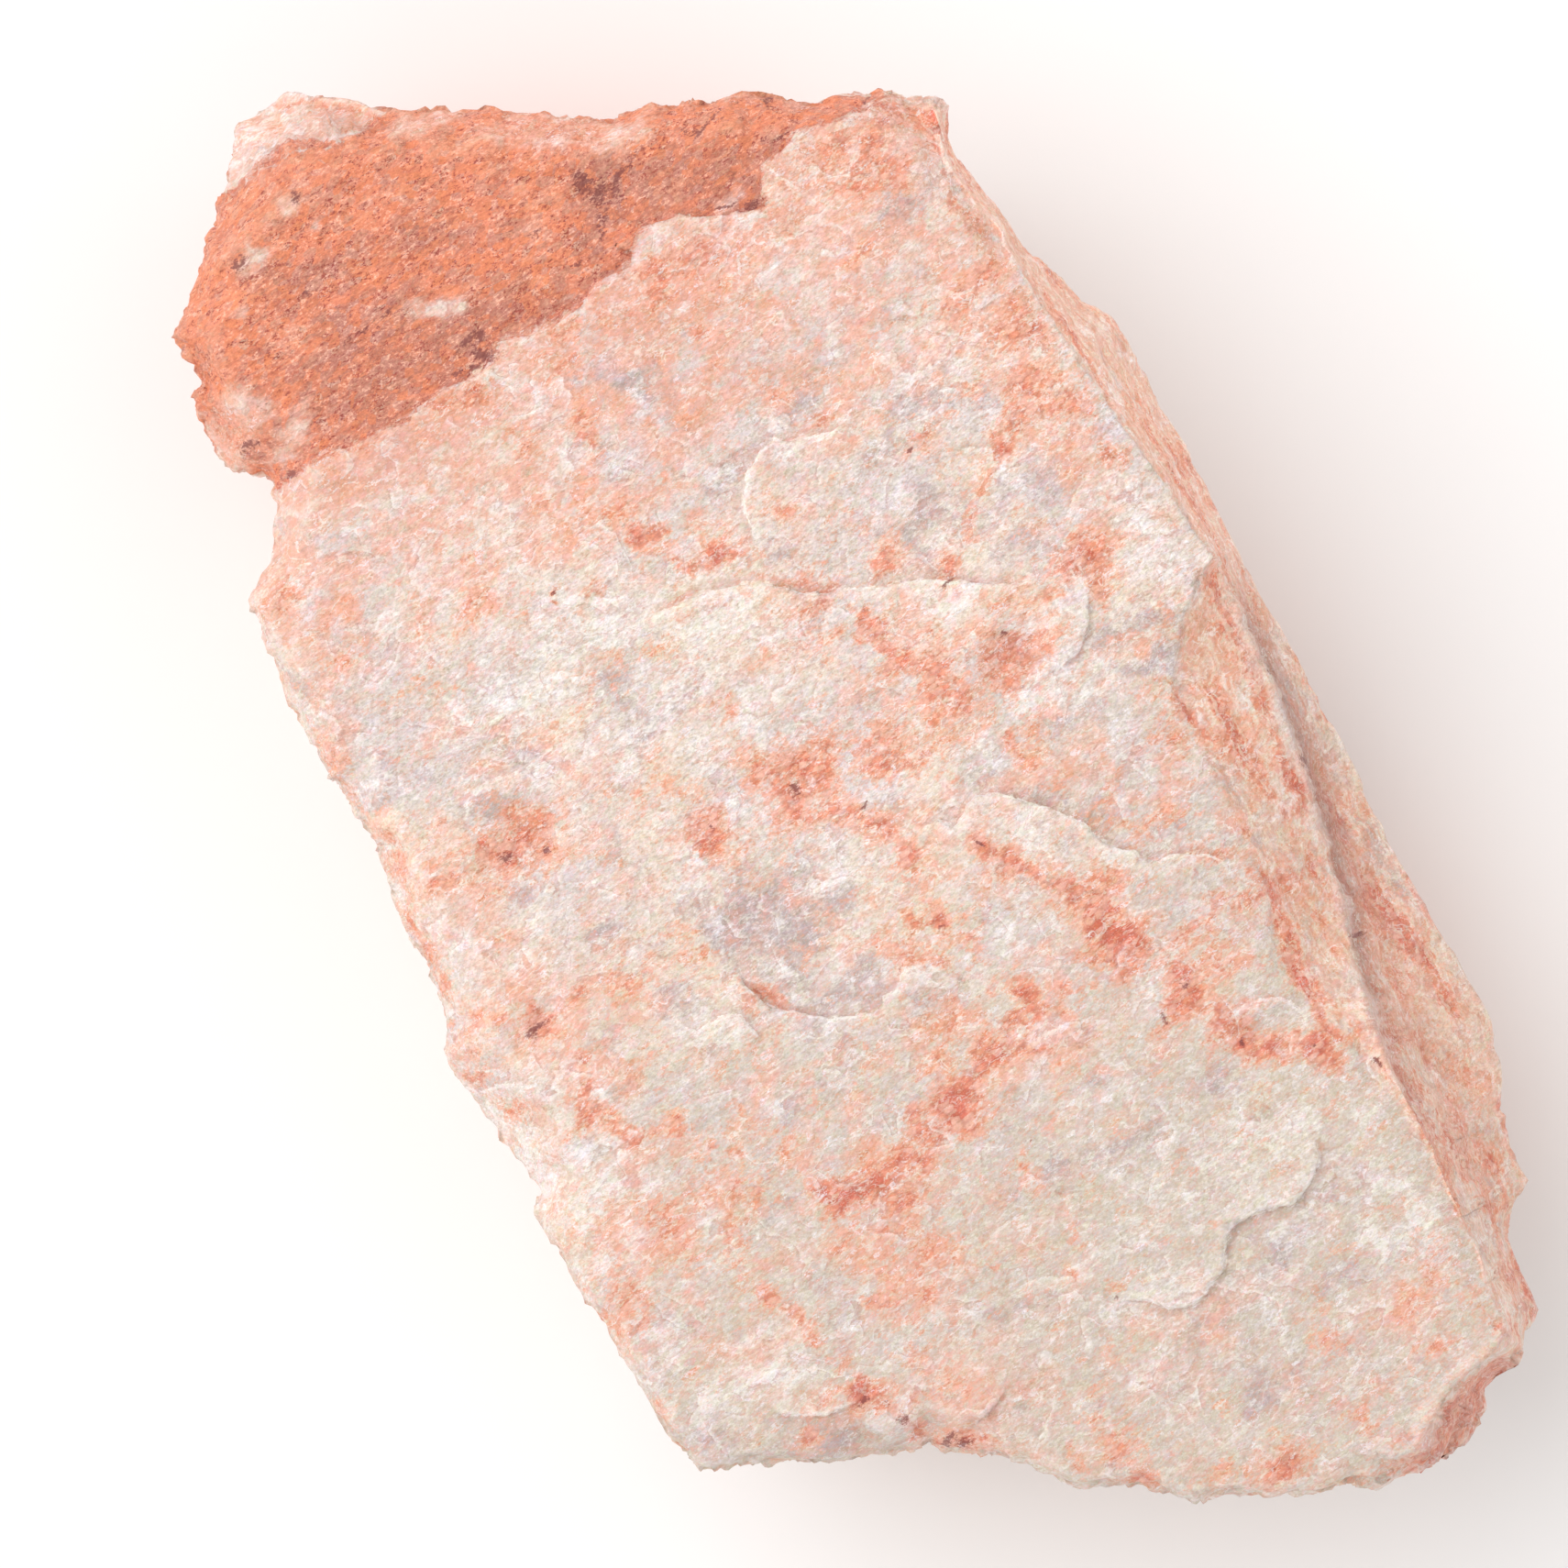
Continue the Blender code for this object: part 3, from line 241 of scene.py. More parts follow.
# Grey, glassier patches.
GREYS = [
    (1.1, 3.4, 2.6, -7.4, -4.4, 10), (0.8, 2, 1.4, -5, -9.4), (0.9, 2.6, 0.9, 13, 16.8, 3),
    (0.6, 1.6, 0.8, 11.6, 17.8), (0.7, 2.6, 1.6, 10.2, 11.4), (0.7, 1.8, 0.6, 13.4, 10.2),
    (0.6, 2.4, 1.6, 15.4, 10.8), (0.6, 1.8, 1, 13.2, 8.2), (0.6, 2, 0.9, -8, 8.7),
    (0.7, 1.6, 1.1, -8.8, 12.1), (0.7, 1.4, 0.8, -15.2, 0.2, 10), (0.7, 1.2, 0.8, -12.6, 2.6, 20),
    (0.6, 2, 2.2, -8.8, -1.6), (0.6, 1.6, 1, 1.8, 13.4), (0.5, 1.8, 1, 2.8, 4.2),
    (0.7, 1.8, 0.9, 16.4, 2, 5), (0.7, 1.8, 0.7, 16, -0.8, 5), (0.6, 1.2, 1.2, 9.2, -4.6, -40),
    (0.8, 1.6, 0.9, 11.2, -7, -50), (0.6, 1.4, 0.8, 14.2, -9, -30), (0.7, 2.6, 1.3, 6.4, 20.4),
    (0.6, 1.8, 1, 0.6, 18.6), (0.5, 3, 1.6, 1, 23), (0.5, 3, 1.4, -2.6, 26.2),
    (0.3, 2, 1.6, 14, 30.4), (0.5, 1.8, 1.4, 15.6, 28.2), (0.5, 1.6, 1.8, 3.2, 27.6),
    (0.8, 3.6, 0.9, 9.4, -32.3, 22), (0.6, 2.4, 1, 4.4, -34.2, 12), (0.6, 3.2, 1.6, -18, -31),
    (0.6, 1.6, 1.8, -23, -27.6), (0.7, 2.4, 0.8, -4.6, -28.8, -8), (0.6, 3.6, 0.8, -1.6, -23),
    (0.6, 2.6, 0.8, 4.4, -23.6), (0.5, 3, 1, 9.8, -22.8), (0.6, 2.6, 1.4, 5.8, -38.8),
    (0.5, 2.4, 1, 11.6, -35.2), (0.6, 1.4, 0.7, 14.4, -20.6, -5), (0.6, 1, 0.4, -1.2, -22.8),
    (0.5, 2.6, 1, -14.6, -18), (0.6, 1.2, 0.5, -6, -16.8), (0.5, 2, 1, -20, 3.4),
    (0.5, 2.4, 1.2, -16.6, 8.6), (0.5, 1.8, 2.2, -23.4, 11.4), (0.6, 1.2, 0.8, -22.2, -10.3),
    (0.5, 3.2, 1.4, -14.4, -5.6), (0.7, 0.8, 3.6, 18.8, -6.4), (0.6, 2.2, 2.6, 20, -2),
    (0.6, 0.8, 4, 19.6, -15), (0.6, 1.6, 0.5, 12.6, -41.2), (0.5, 2, 0.6, -14.8, -30.4, -15),
]
# Clean cream patches.
CREAMS = [
    (0.7, 3.4, 1.8, 11, -26.6), (0.6, 1.2, 6, 16.6, -31), (0.9, 2.2, 3.2, -23.8, -14),
    (0.9, 1, 2.8, -25.2, -8), (0.9, 1.8, 1.1, -12.8, -8.4), (0.7, 2.2, 1.6, 6.8, -6.2, -45),
    (0.7, 3, 0.9, 12, 0.4), (0.7, 4, 1.8, -2.6, 11.4), (0.6, 4, 2.4, -12.4, 12.4),
    (0.5, 4, 1.4, -9, 6.4), (0.45, 1.6, 3, 20.4, 4.4), (0.8, 2.2, 0.9, 8.8, 7.4, -20),
    (0.6, 2, 0.8, 5, 18.3), (0.6, 2.4, 1.2, -17.4, 13.6), (0.6, 3, 1.4, -17.6, 20.4),
    (0.6, 3, 1, 12.2, -10.2, -30), (0.6, 3.4, 2, -19.6, -25.4), (0.6, 3, 1.4, 15.6, -34.4),
    (0.7, 1.4, 0.7, -17.6, -19.4), (0.6, 3, 1.2, 1.6, -31.2), (0.6, 2.4, 2.4, -13.4, 48.4),
    (0.3, 2.2, 0.6, 11.4, 31.8), (0.5, 3, 1.2, 6.4, 28), (0.7, 1, 3, 20.6, -7),
    (0.6, 0.8, 3, 20.8, -12.4), (0.5, 2, 1.2, -21.4, -22.4), (0.5, 1.2, 1, 13.6, 2.6),
]
# Pink mottled patches.
PINKS = [
    (0.6, 3.2, 3.6, -22.4, 21), (0.6, 5, 1.4, -5, 19.6), (1.2, 8, 2, -14, 28),
    (1.25, 6.4, 2.2, 2.4, 29.2, 5), (0.6, 4, 2.4, 12, 25), (0.6, 3, 3, 18, 20.6),
    (0.9, 3, 3, -22, 33), (0.8, 5, 2, 0, 41, -20), (0.7, 5, 2, 14, 30.6), (0.6, 2, 4, 18.8, 10.6),
    (0.6, 2.2, 2.4, 5.6, 4.2), (0.5, 2.2, 4.4, -22.6, 4), (0.5, 2.2, 1.6, -24, -1.6),
    (0.5, 3.2, 2.4, -21, -17), (0.5, 2.2, 3, -23.8, -20.4), (0.6, 3.6, 3, -9, -23.4),
    (0.5, 3.4, 2, 13, -38.6), (0.5, 4.4, 1.4, 3, -35.4), (0.5, 3.4, 1, -2, -13.4),
    (0.6, 3.2, 2.2, 14, -6.2), (0.5, 5, 1.6, 3, -17.6, 5), (0.5, 3.4, 1.6, 6.4, -13),
    (0.5, 2.6, 1, 14.4, -16.6), (0.6, 2.4, 6, 22, -24), (0.5, 1.6, 3.4, -19.4, -7.4),
    (0.4, 3, 1.2, -12.2, -11.4), (0.5, 2.6, 1.6, 11, -4), (0.4, 3.2, 1.4, -13.4, 7.6),
    (0.5, 3.4, 2, -10, 24), (0.4, 5, 1.2, -3.4, 8.4), (1.3, 3.8, 2.8, 18, 31.2),
    (0.7, 4.2, 3.8, -19.2, -4.2), (0.5, 4.2, 3.6, -19.6, -23), (0.6, 4.2, 2.6, -9, -32),
]
# Zones with little pink.
CLEANS = [
    (1, 8, 4.4, -8.4, 12), (1, 7.5, 5.6, 8, -28.4), (0.6, 6, 3.6, -8.6, -6.4, 10),
    (0.9, 3.6, 4.6, -22.4, -25.4), (0.6, 3, 2.2, 12.6, 0.6), (0.5, 4, 1.6, 12, 16.8),
]
# Dark mineral specks and grime, without a strength.
SPECKS = [
    (0.5, 1, 1.1, 36.4, 10), (0.9, 0.5, 1.8, 35.5, 60), (0.8, 0.4, 2.6, 35.2, 70),
    (1.2, 0.35, 1.4, 34, 60), (0.9, 0.35, 3.3, 36, 20), (0.8, 0.3, 4.6, 36.6),
    (0.4, 0.3, 7.6, 36.4), (1.1, 0.3, -8.4, 31.6, 25), (0.5, 0.35, -7.5, 31.5, 40),
    (0.8, 0.5, -7.8, 30.6, -30), (0.9, 0.25, -8.6, 29.9), (0.5, 0.2, -9.6, 30.3),
    (0.6, 0.35, -13.1, 42.7, 50), (0.5, 0.4, -17.4, 40.7, 40), (0.4, 0.3, -14.8, 37.8),
    (1.2, 0.18, -13.6, 34.4, 15), (0.9, 0.16, -11.6, 34.7, 35), (0.4, 0.25, -2.3, 35.3),
    (0.7, 0.16, -0.7, 32.6), (1.6, 0.16, 8.6, 36.3, 22), (1.6, 0.12, 11.6, 34, -20),
    (1.6, 0.12, 16.9, 33.4, 25), (0.5, 0.2, 12.2, 36, -50), (0.5, 0.3, -19.8, 33.5),
    (0.8, 0.3, -21.2, 31.8, 20), (0.4, 0.3, -20, 29.4), (0.6, 0.2, -22, 36.1),
    (0.9, 0.14, 7.6, 31.9, -10), (0.6, 0.3, 9, 31.3), (0.9, 0.12, 0.6, 31.4, 8),
    (0.28, 0.28, -8.1, 2), (0.5, 0.4, -3.1, 1.9), (0.9, 0.3, -21.4, -3.6, 10),
    (0.4, 0.35, -18.9, 5.5), (0.3, 0.3, -16.6, 4.8), (0.25, 0.2, -2.9, -0.1),
    (0.5, 0.2, -0.3, -0.8, 50), (0.3, 0.2, 0.7, -8.4), (0.2, 0.15, -2.4, -9.6),
    (0.32, 0.26, 12.6, -21.4), (0.2, 0.2, 14.2, -22.1), (0.2, 0.2, 15.8, -23.1),
    (0.9, 0.1, 4.6, -5.3, 125), (0.5, 0.25, 10.9, 4.4, 45), (0.9, 0.3, -11.6, -33.7, 30),
    (0.6, 0.4, -10.8, -34.2), (0.3, 0.16, 10.5, 15.6), (0.2, 0.16, 2, 7.6), (0.16, 0.2, 0, -30.7),
    (0.3, 0.2, -0.4, -21), (0.4, 0.3, -13.3, -31.6), (0.25, 0.3, -13.5, -30.3),
    (0.5, 0.2, -14.7, -29.6), (0.3, 0.6, 22.4, -9.3), (0.2, 0.2, 22.9, -4.1),
    (0.2, 0.2, 23.6, -24.3), (0.2, 0.4, 18.5, -25.6), (0.14, 0.5, 19.5, -39.7),
    (0.5, 0.15, 9.4, 8.1, 20), (0.25, 0.5, 9.3, -18.2, 10), (0.3, 0.2, 11, -17.2),
    (0.3, 0.16, -10.2, 17.3), (0.25, 0.2, -8, 25), (0.7, 0.18, 20.8, -19, -5),
]
# Ledges with a painted highlight on the rim and painted shade at the foot: strength, and the line
# with the higher ground on its right.
RIMS = [
    (0.9, [(0.8, 14), (1.1, 16.7), (1.6, 17.6), (2.4, 18.6), (3.4, 19.3), (4.1, 19.4), (5, 19),
        (6.2, 18.6), (7.2, 18.3), (8.4, 18.7)]),
    (1, [(-6.9, 13.3), (-6.6, 13.7), (-5.6, 13.8), (-4.4, 13.5), (-3, 13.7), (0, 12.9), (1, 12.1),
        (2, 11.2), (3.1, 10.6), (4.3, 10.2), (6, 9.6), (7.4, 9.2), (8.6, 8.8), (9.3, 8.2),
        (10.3, 7.7), (11.5, 7), (12.7, 6.3), (14.1, 6.1)]),
    (0.7, [(15.8, 4.3), (15.4, 3.3), (15, 2.6), (14.3, 1.9), (13.6, 1.5), (12.7, 1.2)]),
    (1, [(1.1, -3.2), (2.2, -3.1), (3.1, -3.1), (3.6, -3.8), (4.3, -3.6), (4.8, -3), (5.5, -2.7),
        (6.5, -3.1), (7.4, -4.05), (8.4, -5), (9.3, -5.95), (10.05, -6.9), (10.5, -7.9), (11, -8.6),
        (11.95, -9.8), (12.9, -10.5), (14.1, -10.7), (15.05, -11.2), (15.8, -12), (16.7, -12.6)]),
    (0.7, [(-10.4, -5.3), (-10.1, -7), (-9.5, -8.3), (-8.2, -9.3), (-6.8, -10.2), (-4.8, -10.9),
        (-3, -10.2), (-1.5, -9)]),
    (0.9, [(-14, -7.6), (-12.3, -7.4), (-11.3, -7.9), (-10.9, -9.5)]),
    (1, [(13.6, -27.3), (13.5, -28.8), (12.8, -29.5), (11.8, -30.2), (11.1, -30.5), (9.9, -30.2),
        (8.5, -29.9), (7.5, -30.1), (6.6, -31), (6, -32.1), (5.4, -32.2), (4.7, -32.7),
        (3.6, -33.05), (2.5, -32.5), (1.9, -31.7), (0.9, -31.3), (0, -30.7)]),
    (0.7, [(-14.8, -29.4), (-15.7, -29.5), (-16.7, -29.4), (-17.9, -28.9), (-18.8, -28.3),
        (-19.5, -27.8)]),
    (0.6, [(-9.8, 16.8), (-8.8, 16.5), (-7.6, 15.5), (-6.4, 15.3)]),
    (0.6, [(-20.2, 8.2), (-19.4, 9.3), (-18, 9.7), (-16.6, 9.4), (-15.6, 9.6)]),
    (0.6, [(16.2, 8.2), (17.6, 9.4), (18.9, 10.1)]),
    (0.7, [(12.8, -19.6), (14.2, -19.7), (15.6, -20.2), (16.2, -21.4)]),
    (0.5, [(-4.8, -24.8), (-3.4, -24.3), (-2, -24.6)]),
    (0.5, [(-4.6, -27.8), (-2.8, -27.9), (-1.4, -28.8)]),
    (0.5, [(-12.6, 3.6), (-11, 4.2), (-9.6, 3.6)]),
    (0.6, [(12.2, 14), (13.4, 14.3), (14.6, 13.7), (14.4, 12.8)]),
    (0.6, [(-26, -5.3), (-24.6, -5.4), (-23, -6.2)]),
    (0.5, [(10.4, 33.2), (11, 31.8), (11.7, 30.6)]),
    (0.5, [(15.8, 23.2), (16.6, 22), (18, 21.9)]),
]
# Where the near corner keeps its broken sides smooth.
SMOOTH_CORNER = [(0.85, 2.8, 1.8, 17.3, -43.6, 45)]
# Upper edge of the stained facet at the near corner.
NEAR_FACET = [
    (9.4, -46.2), (10.4, -45.9), (12.3, -44.6), (14.7, -43.4), (17, -42.9), (19, -42.6),
]
# Sloping side, far to near: y of a section, x of the face edge and x of the scarp.
SLOPE = np.array([
    (32, 18.9, 20), (27, 19.5, 19.9), (22.3, 20.3, 20.8), (16.4, 21, 22.2), (8.6, 22.1, 23.2),
    (2.9, 22.8, 23.5), (0.9, 20.1, 23.1), (-1, 18.5, 22.9), (-4, 17.6, 22.8), (-8.1, 17.6, 22.5),
    (-13.1, 17.5, 21.7), (-16.9, 16.5, 21), (-19.5, 16.1, 20.2), (-25.2, 17.9, 19.1),
    (-31.4, 18.85, 19.1), (-43.2, 18.2, 18.4),
])[::-1]


# Noise

def hashed(cell, seed):
    """Random bits for each cell of a grid."""
    mixed = (cell * np.array([374761393, 668265263, 1440662683])).sum(-1) + seed * 974634777
    mixed = mixed & 0xFFFFFFFF
    mixed = ((mixed ^ (mixed >> 13)) * 1274126177) & 0xFFFFFFFF
    return mixed ^ (mixed >> 16)


def noise(points, seed):
    """Gradient noise, about -1..1."""
    cell = np.floor(points).astype(np.int64)
    part = points - cell
    fade = part**3 * (part * (part * 6 - 15) + 10)
    total = np.zeros(len(points))
    for corner in np.ndindex(2, 2, 2):
        key = hashed(cell + corner, seed)
        slope = np.stack([(key >> s & 1023) / 511.5 - 1.0 for s in (0, 10, 20)], -1)
        weight = np.where(corner, fade, 1.0 - fade).prod(-1)
        total += weight * (slope * (part - corner)).sum(-1)
    return 1.5 * total


def fbm(points, seed, octaves=4, gain=0.55):
    """Noise in several sizes. Each use has a seed of its own, which only sets its pattern."""
    total, size = np.zeros(len(points)), 1.0
    for octave in range(octaves):
        total += size * noise(points * 2.03**octave, seed + 17 * octave)
        size *= gain
    return total


def smooth(low, high, value):
    """0 at low, 1 at high and eased between them; low may be the larger."""
    share = np.clip((value - low) / (high - low), 0.0, 1.0)
    return share * share * (3.0 - 2.0 * share)


# Shapes on the survey

def line_gap(points, line, closed=False):
    """Distance to a line, and for a closed one the side: positive inside."""
    line = np.asarray(line, float)
    start = line if closed else line[:-1]
    end = np.roll(line, -1, axis=0) if closed else line[1:]
    best = np.full(len(points), 1e9)
    inside = np.zeros(len(points), bool)
    for a, b in zip(start, end):
        along = b - a
        rel = points - a
        share = np.clip(rel @ along / (along @ along), 0.0, 1.0)
        best = np.minimum(best, np.linalg.norm(rel - share[:, None] * along, axis=1))
        if closed and a[1] != b[1]:
            cross = (a[1] > points[:, 1]) != (b[1] > points[:, 1])
            x = a[0] + (points[:, 1] - a[1]) * along[0] / along[1]
            inside ^= cross & (points[:, 0] < x)
    return np.where(inside, best, -best) if closed else best


def blob(points, half_x, half_y, x, y, angle=0):
    """1 at the middle of an ellipse, 0 on its edge, and below 0 outside."""
    turn = math.radians(angle)
    rel = points - (x, y)
    u = (rel[:, 0] * math.cos(turn) + rel[:, 1] * math.sin(turn)) / half_x
    v = (-rel[:, 0] * math.sin(turn) + rel[:, 1] * math.cos(turn)) / half_y
    return 1.0 - np.hypot(u, v)


def spread(points, shapes, halo=0.0):
    """Soft-edged union of ellipses, each with its strength and, if wanted, a wide faint halo."""
    core, haze = np.zeros(len(points)), np.zeros(len(points))
    for strength, *shape in shapes:
        reach = 1.0 - blob(points, *shape)
        core = np.maximum(core, strength * np.exp(-0.8 * reach**2.4))
        haze = np.maximum(haze, strength * np.exp(-0.25 * reach**2))
    return (1.0 - halo) * core + halo * haze


def rim_gap(points):
    """Distance to the nearest ledge, positive on its higher side, and its rim's strength there."""
    best = np.full(len(points), 9.0)
    power = np.zeros(len(points))
    for strength, line in RIMS:
        line = np.asarray(line, float)
        steps = np.linalg.norm(np.diff(line, axis=0), axis=1)
        before = np.concatenate([[0.0], np.cumsum(steps)])
        for i, step in enumerate(steps):
            along = line[i + 1] - line[i]
            rel = points - line[i]
            share = np.clip(rel @ along / step**2, 0.0, 1.0)
            away = rel - share[:, None] * along
            gap = np.linalg.norm(away, axis=1)
            right = along[1] * rel[:, 0] - along[0] * rel[:, 1] > 0
            place = (before[i] + share * step) / before[-1]
            ends = smooth(0.0, 0.12, np.minimum(place, 1.0 - place))
            nearer = gap < np.abs(best)
            best = np.where(nearer, np.where(right, gap, -gap), best)
            power = np.where(nearer, strength * ends, power)
    return best, power


# The stone's mesh

def refined_copy():
    """The CAD stone welded, creased along its sharp edges and subdivided."""
    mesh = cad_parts[NODE].data.copy()
    mesh.name = "stone_surface"
    work = bmesh.new()
    work.from_mesh(mesh)
    bmesh.ops.remove_doubles(work, verts=work.verts, dist=WELD)
    bmesh.ops.dissolve_degenerate(work, edges=work.edges, dist=SLIVER)
    layers = work.edges.layers.float
    crease = layers.get("crease_edge") or layers.new("crease_edge")
    for edge in work.edges:
        edge[crease] = float(smooth(*CREASE, edge.calc_face_angle(0.0)))
        edge.smooth = True
    for face in work.faces:
        face.smooth = True
    work.to_mesh(mesh)
    work.free()
    mesh.materials.clear()
    stone = bpy.data.objects.new("stone", mesh)
    bpy.context.scene.collection.objects.link(stone)
    finer = stone.modifiers.new("finer", "SUBSURF")
    finer.levels = finer.render_levels = FINER
    finer.uv_smooth = "NONE"
    graph = bpy.context.evaluated_depsgraph_get()
    fine = bpy.data.meshes.new_from_object(stone.evaluated_get(graph))
    stone.modifiers.clear()
    stone.data = fine
    bpy.data.meshes.remove(mesh)
    return stone


def rows_of(items, key, width, kind=np.float32):
    """One value of every item, as a row of numbers for each."""
    flat = np.empty(len(items) * width, kind)
    items.foreach_get(key, flat)
    return flat.reshape(-1, width)


def positions(mesh):
    return rows_of(mesh.vertices, "co", 3).astype(float) / MM


def normals(mesh):
    return rows_of(mesh.vertex_normals, "vector", 3).astype(float)


def neighbour_mean(edges, values):
    """The mean of each vertex's neighbours."""
    values = np.asarray(values, float)
    columns = values.reshape(len(values), -1)
    total = np.zeros_like(columns)
    count = np.bincount(edges.ravel(), minlength=len(values)).astype(float)
    for column in range(columns.shape[1]):
        total[:, column] += np.bincount(edges[:, 0], columns[edges[:, 1], column], len(values))
        total[:, column] += np.bincount(edges[:, 1], columns[edges[:, 0], column], len(values))
    return (total / np.maximum(count, 1)[:, None]).reshape(values.shape)


def terraces(level, sharp):
    """Sawtooth of a rising value: even treads with short risers between them."""
    step = np.floor(level)
    return step + smooth(0.5 - sharp, 0.5 + sharp, level - step) - level


def plan(co):
    """Places on the survey."""
    return co[:, :2] + CENTRE


def slope_parts(spot):
    """Shares of the sloping side: all of it, the strip above its scarp and the recess below."""
    x, y = spot.T
    edge, scarp = (np.interp(y, SLOPE[:, 0], SLOPE[:, i]) for i in (1, 2))
    slope = smooth(-0.15, 0.35, x - edge) * (y < 31.6)
    strip = slope * smooth(0.3, -0.3, x - scarp) * smooth(3.0, -1.0, y)
    recess = slope * smooth(-0.2, 0.05, x - scarp) * smooth(1.7, 0.1, x - scarp)
    return slope, strip, recess * smooth(3.0, -4.0, y) * smooth(-36.0, -17.0, y)


def plates(co):
    """Rising values whose whole numbers mark the borders of broad and of small cleavage plates."""
    warp = np.stack([fbm(co / 1.6, s, 3) for s in (11, 12)], -1)
    flat = np.column_stack([co[:, :2] + 0.7 * warp, 0.25 * co[:, 2]])
    broad = 2.6 * fbm(flat / (9.0, 6.0, 9.0), 21, 3) + 0.12 * fbm(co / 0.9, 22, 2)
    small = 2.4 * fbm(flat / (2.8, 1.8, 9.0), 31, 2)
    return broad, small


def relief(stone):
    """Moves the vertices: ragged ledges, cleavage treads, grain and wall laminae."""
    mesh = stone.data
    co, normal = positions(mesh), normals(mesh)
    above = smooth(0.15, 0.6, co[:, 2])
    up = smooth(0.45, 0.8, normal[:, 2]) * above
    side = (1.0 - smooth(0.35, 0.7, np.abs(normal[:, 2]))) * above
    side *= 1.0 - 0.7 * slope_parts(plan(co))[0]
    side *= 1.0 - spread(plan(co), SMOOTH_CORNER)

    ragged = np.stack([fbm(co / 1.5, s, 2) for s in (3, 4, 5)], -1)
    move = RAGGED * ragged * (above * (1.0 - 0.4 * up))[:, None]
    move[:, 2] *= 0.5

    broad, small = plates(co)
    treads = TREAD * terraces(broad + 0.5, 0.07) + SMALL_TREAD * terraces(small + 0.5, 0.14)
    grain = GRAIN * fbm(co / 0.9, 41, 2)
    ledge, power = rim_gap(plan(co))
    lip = LIP * power * smooth(-0.05, 0.2, ledge) * np.exp(-np.maximum(ledge, 0.0) / LIP_WIDTH)
    move += normal * (up * (treads + grain + lip))[:, None]

    sheet = np.column_stack([co[:, :2] / 7.0, co[:, 2] / 1.5])
    sheet += 0.35 * fbm(co / 3.0, 61, 2)[:, None]
    lamina = LAMINA * terraces(1.8 * fbm(sheet, 62, 2), 0.14)
    flute = FLUTE * fbm(co / (1.8, 1.8, 9.0), 71, 2)
    chips = CHIPS * terraces(2.0 * fbm(co / (5.0, 5.0, 3.4), 81, 3), 0.1)
    move += normal * (side * (lamina + flute + chips - WALL_INSET))[:, None]
    under = smooth(-0.6, -0.9, normal[:, 2])
    move[:, 2] += under * np.abs(HOLLOW * terraces(2.0 * fbm(co / (8.0, 5.0, 9.0), 91, 3), 0.16))
    low, high = np.array(CAD_BOX) / MM
    moved = np.clip(co + move, low, high) * MM
    mesh.vertices.foreach_set("co", moved.astype(np.float32).ravel())
    mesh.update()


def paint(mesh, name, values):
    """Stores a number or a vector for each vertex."""
    values = np.asarray(values, np.float32)
    kind, key = ("FLOAT", "value") if values.ndim == 1 else ("FLOAT_VECTOR", "vector")
    mesh.attributes.new(name, kind, "POINT").data.foreach_set(key, values.ravel())


def curvature(mesh, rounds):
    """Height above the mean of the surroundings, wider with each round."""
    co, normal = positions(mesh), normals(mesh)
    edges = rows_of(mesh.edges, "vertices", 2, np.int32)
    mean = co
    for _ in range(rounds):
        mean = neighbour_mean(edges, mean)
    bend = ((co - mean) * normal).sum(-1)
    return neighbour_mean(edges, bend)


def skin_reach(co, spot, wall):
    """Distance into the weathered skin: surveyed on the face, made up on the walls."""
    patch = np.clip(line_gap(spot, WEATHERED, closed=True), -4.0, 4.0)
    outer = 1.1 * fbm(co / 5.0, 161, 3) + 1.6 * smooth(26.0, 40.0, spot[:, 1])
    outer += 0.5 * np.clip(patch, -1.0, 1.0) - 0.9 - 0.3 * smooth(18.0, 6.0, co[:, 2])
    return patch + (outer - patch) * smooth(0.1, 0.6, wall)


def stains_and_veins(co, spot):
    """Iron on the face; the veins wander a little, and their width and strength vary."""
    iron = spread(spot, STAINS, 0.35)
    uneven = fbm(co / 2.6, 171, 4, 0.6)
    bend = 0.75 * np.stack([fbm(co / 2.8, s, 2) for s in (172, 173)], -1)
    for strength, width, line in VEINS:
        gap = line_gap(spot + bend, line) / (width * (1.1 + 1.1 * uneven))
        vein = 0.7 * np.exp(-gap**2) + 0.3 * np.exp(-0.15 * gap**2)
        iron = np.maximum(iron, strength * (0.88 + 0.8 * uneven) * vein)
    return iron


def facet_share(co, spot):
    """Share of the stained facet at the near corner."""
    x, y = spot.T
    below = smooth(0.1, -0.5, y - np.interp(x, *np.array(NEAR_FACET).T))
    return below * (smooth(8.8, 10.4, x) * smooth(19.0, 17.0, x)) * smooth(10.0, 14.0, co[:, 2])


def paint_mottle(mesh, co, strength):
    """Stores the slow patterns; the strength is that of the mottle."""
    paint(mesh, "broad", plates(co)[0])
    drift = 0.55 * np.stack([fbm(co / 1.3, s, 3) for s in (131, 132, 133)], -1)
    paint(mesh, "drift", drift)
    bent = (co + drift) / (2.3, 1.8, 1.8)
    mottle = np.stack([fbm(bent, s, 3, 0.66) for s in (141, 142, 143)], -1)
    paint(mesh, "mottle", strength[:, None] * mottle)
    paint(mesh, "slow", fbm((co + drift) / 8.0, 151, 2))


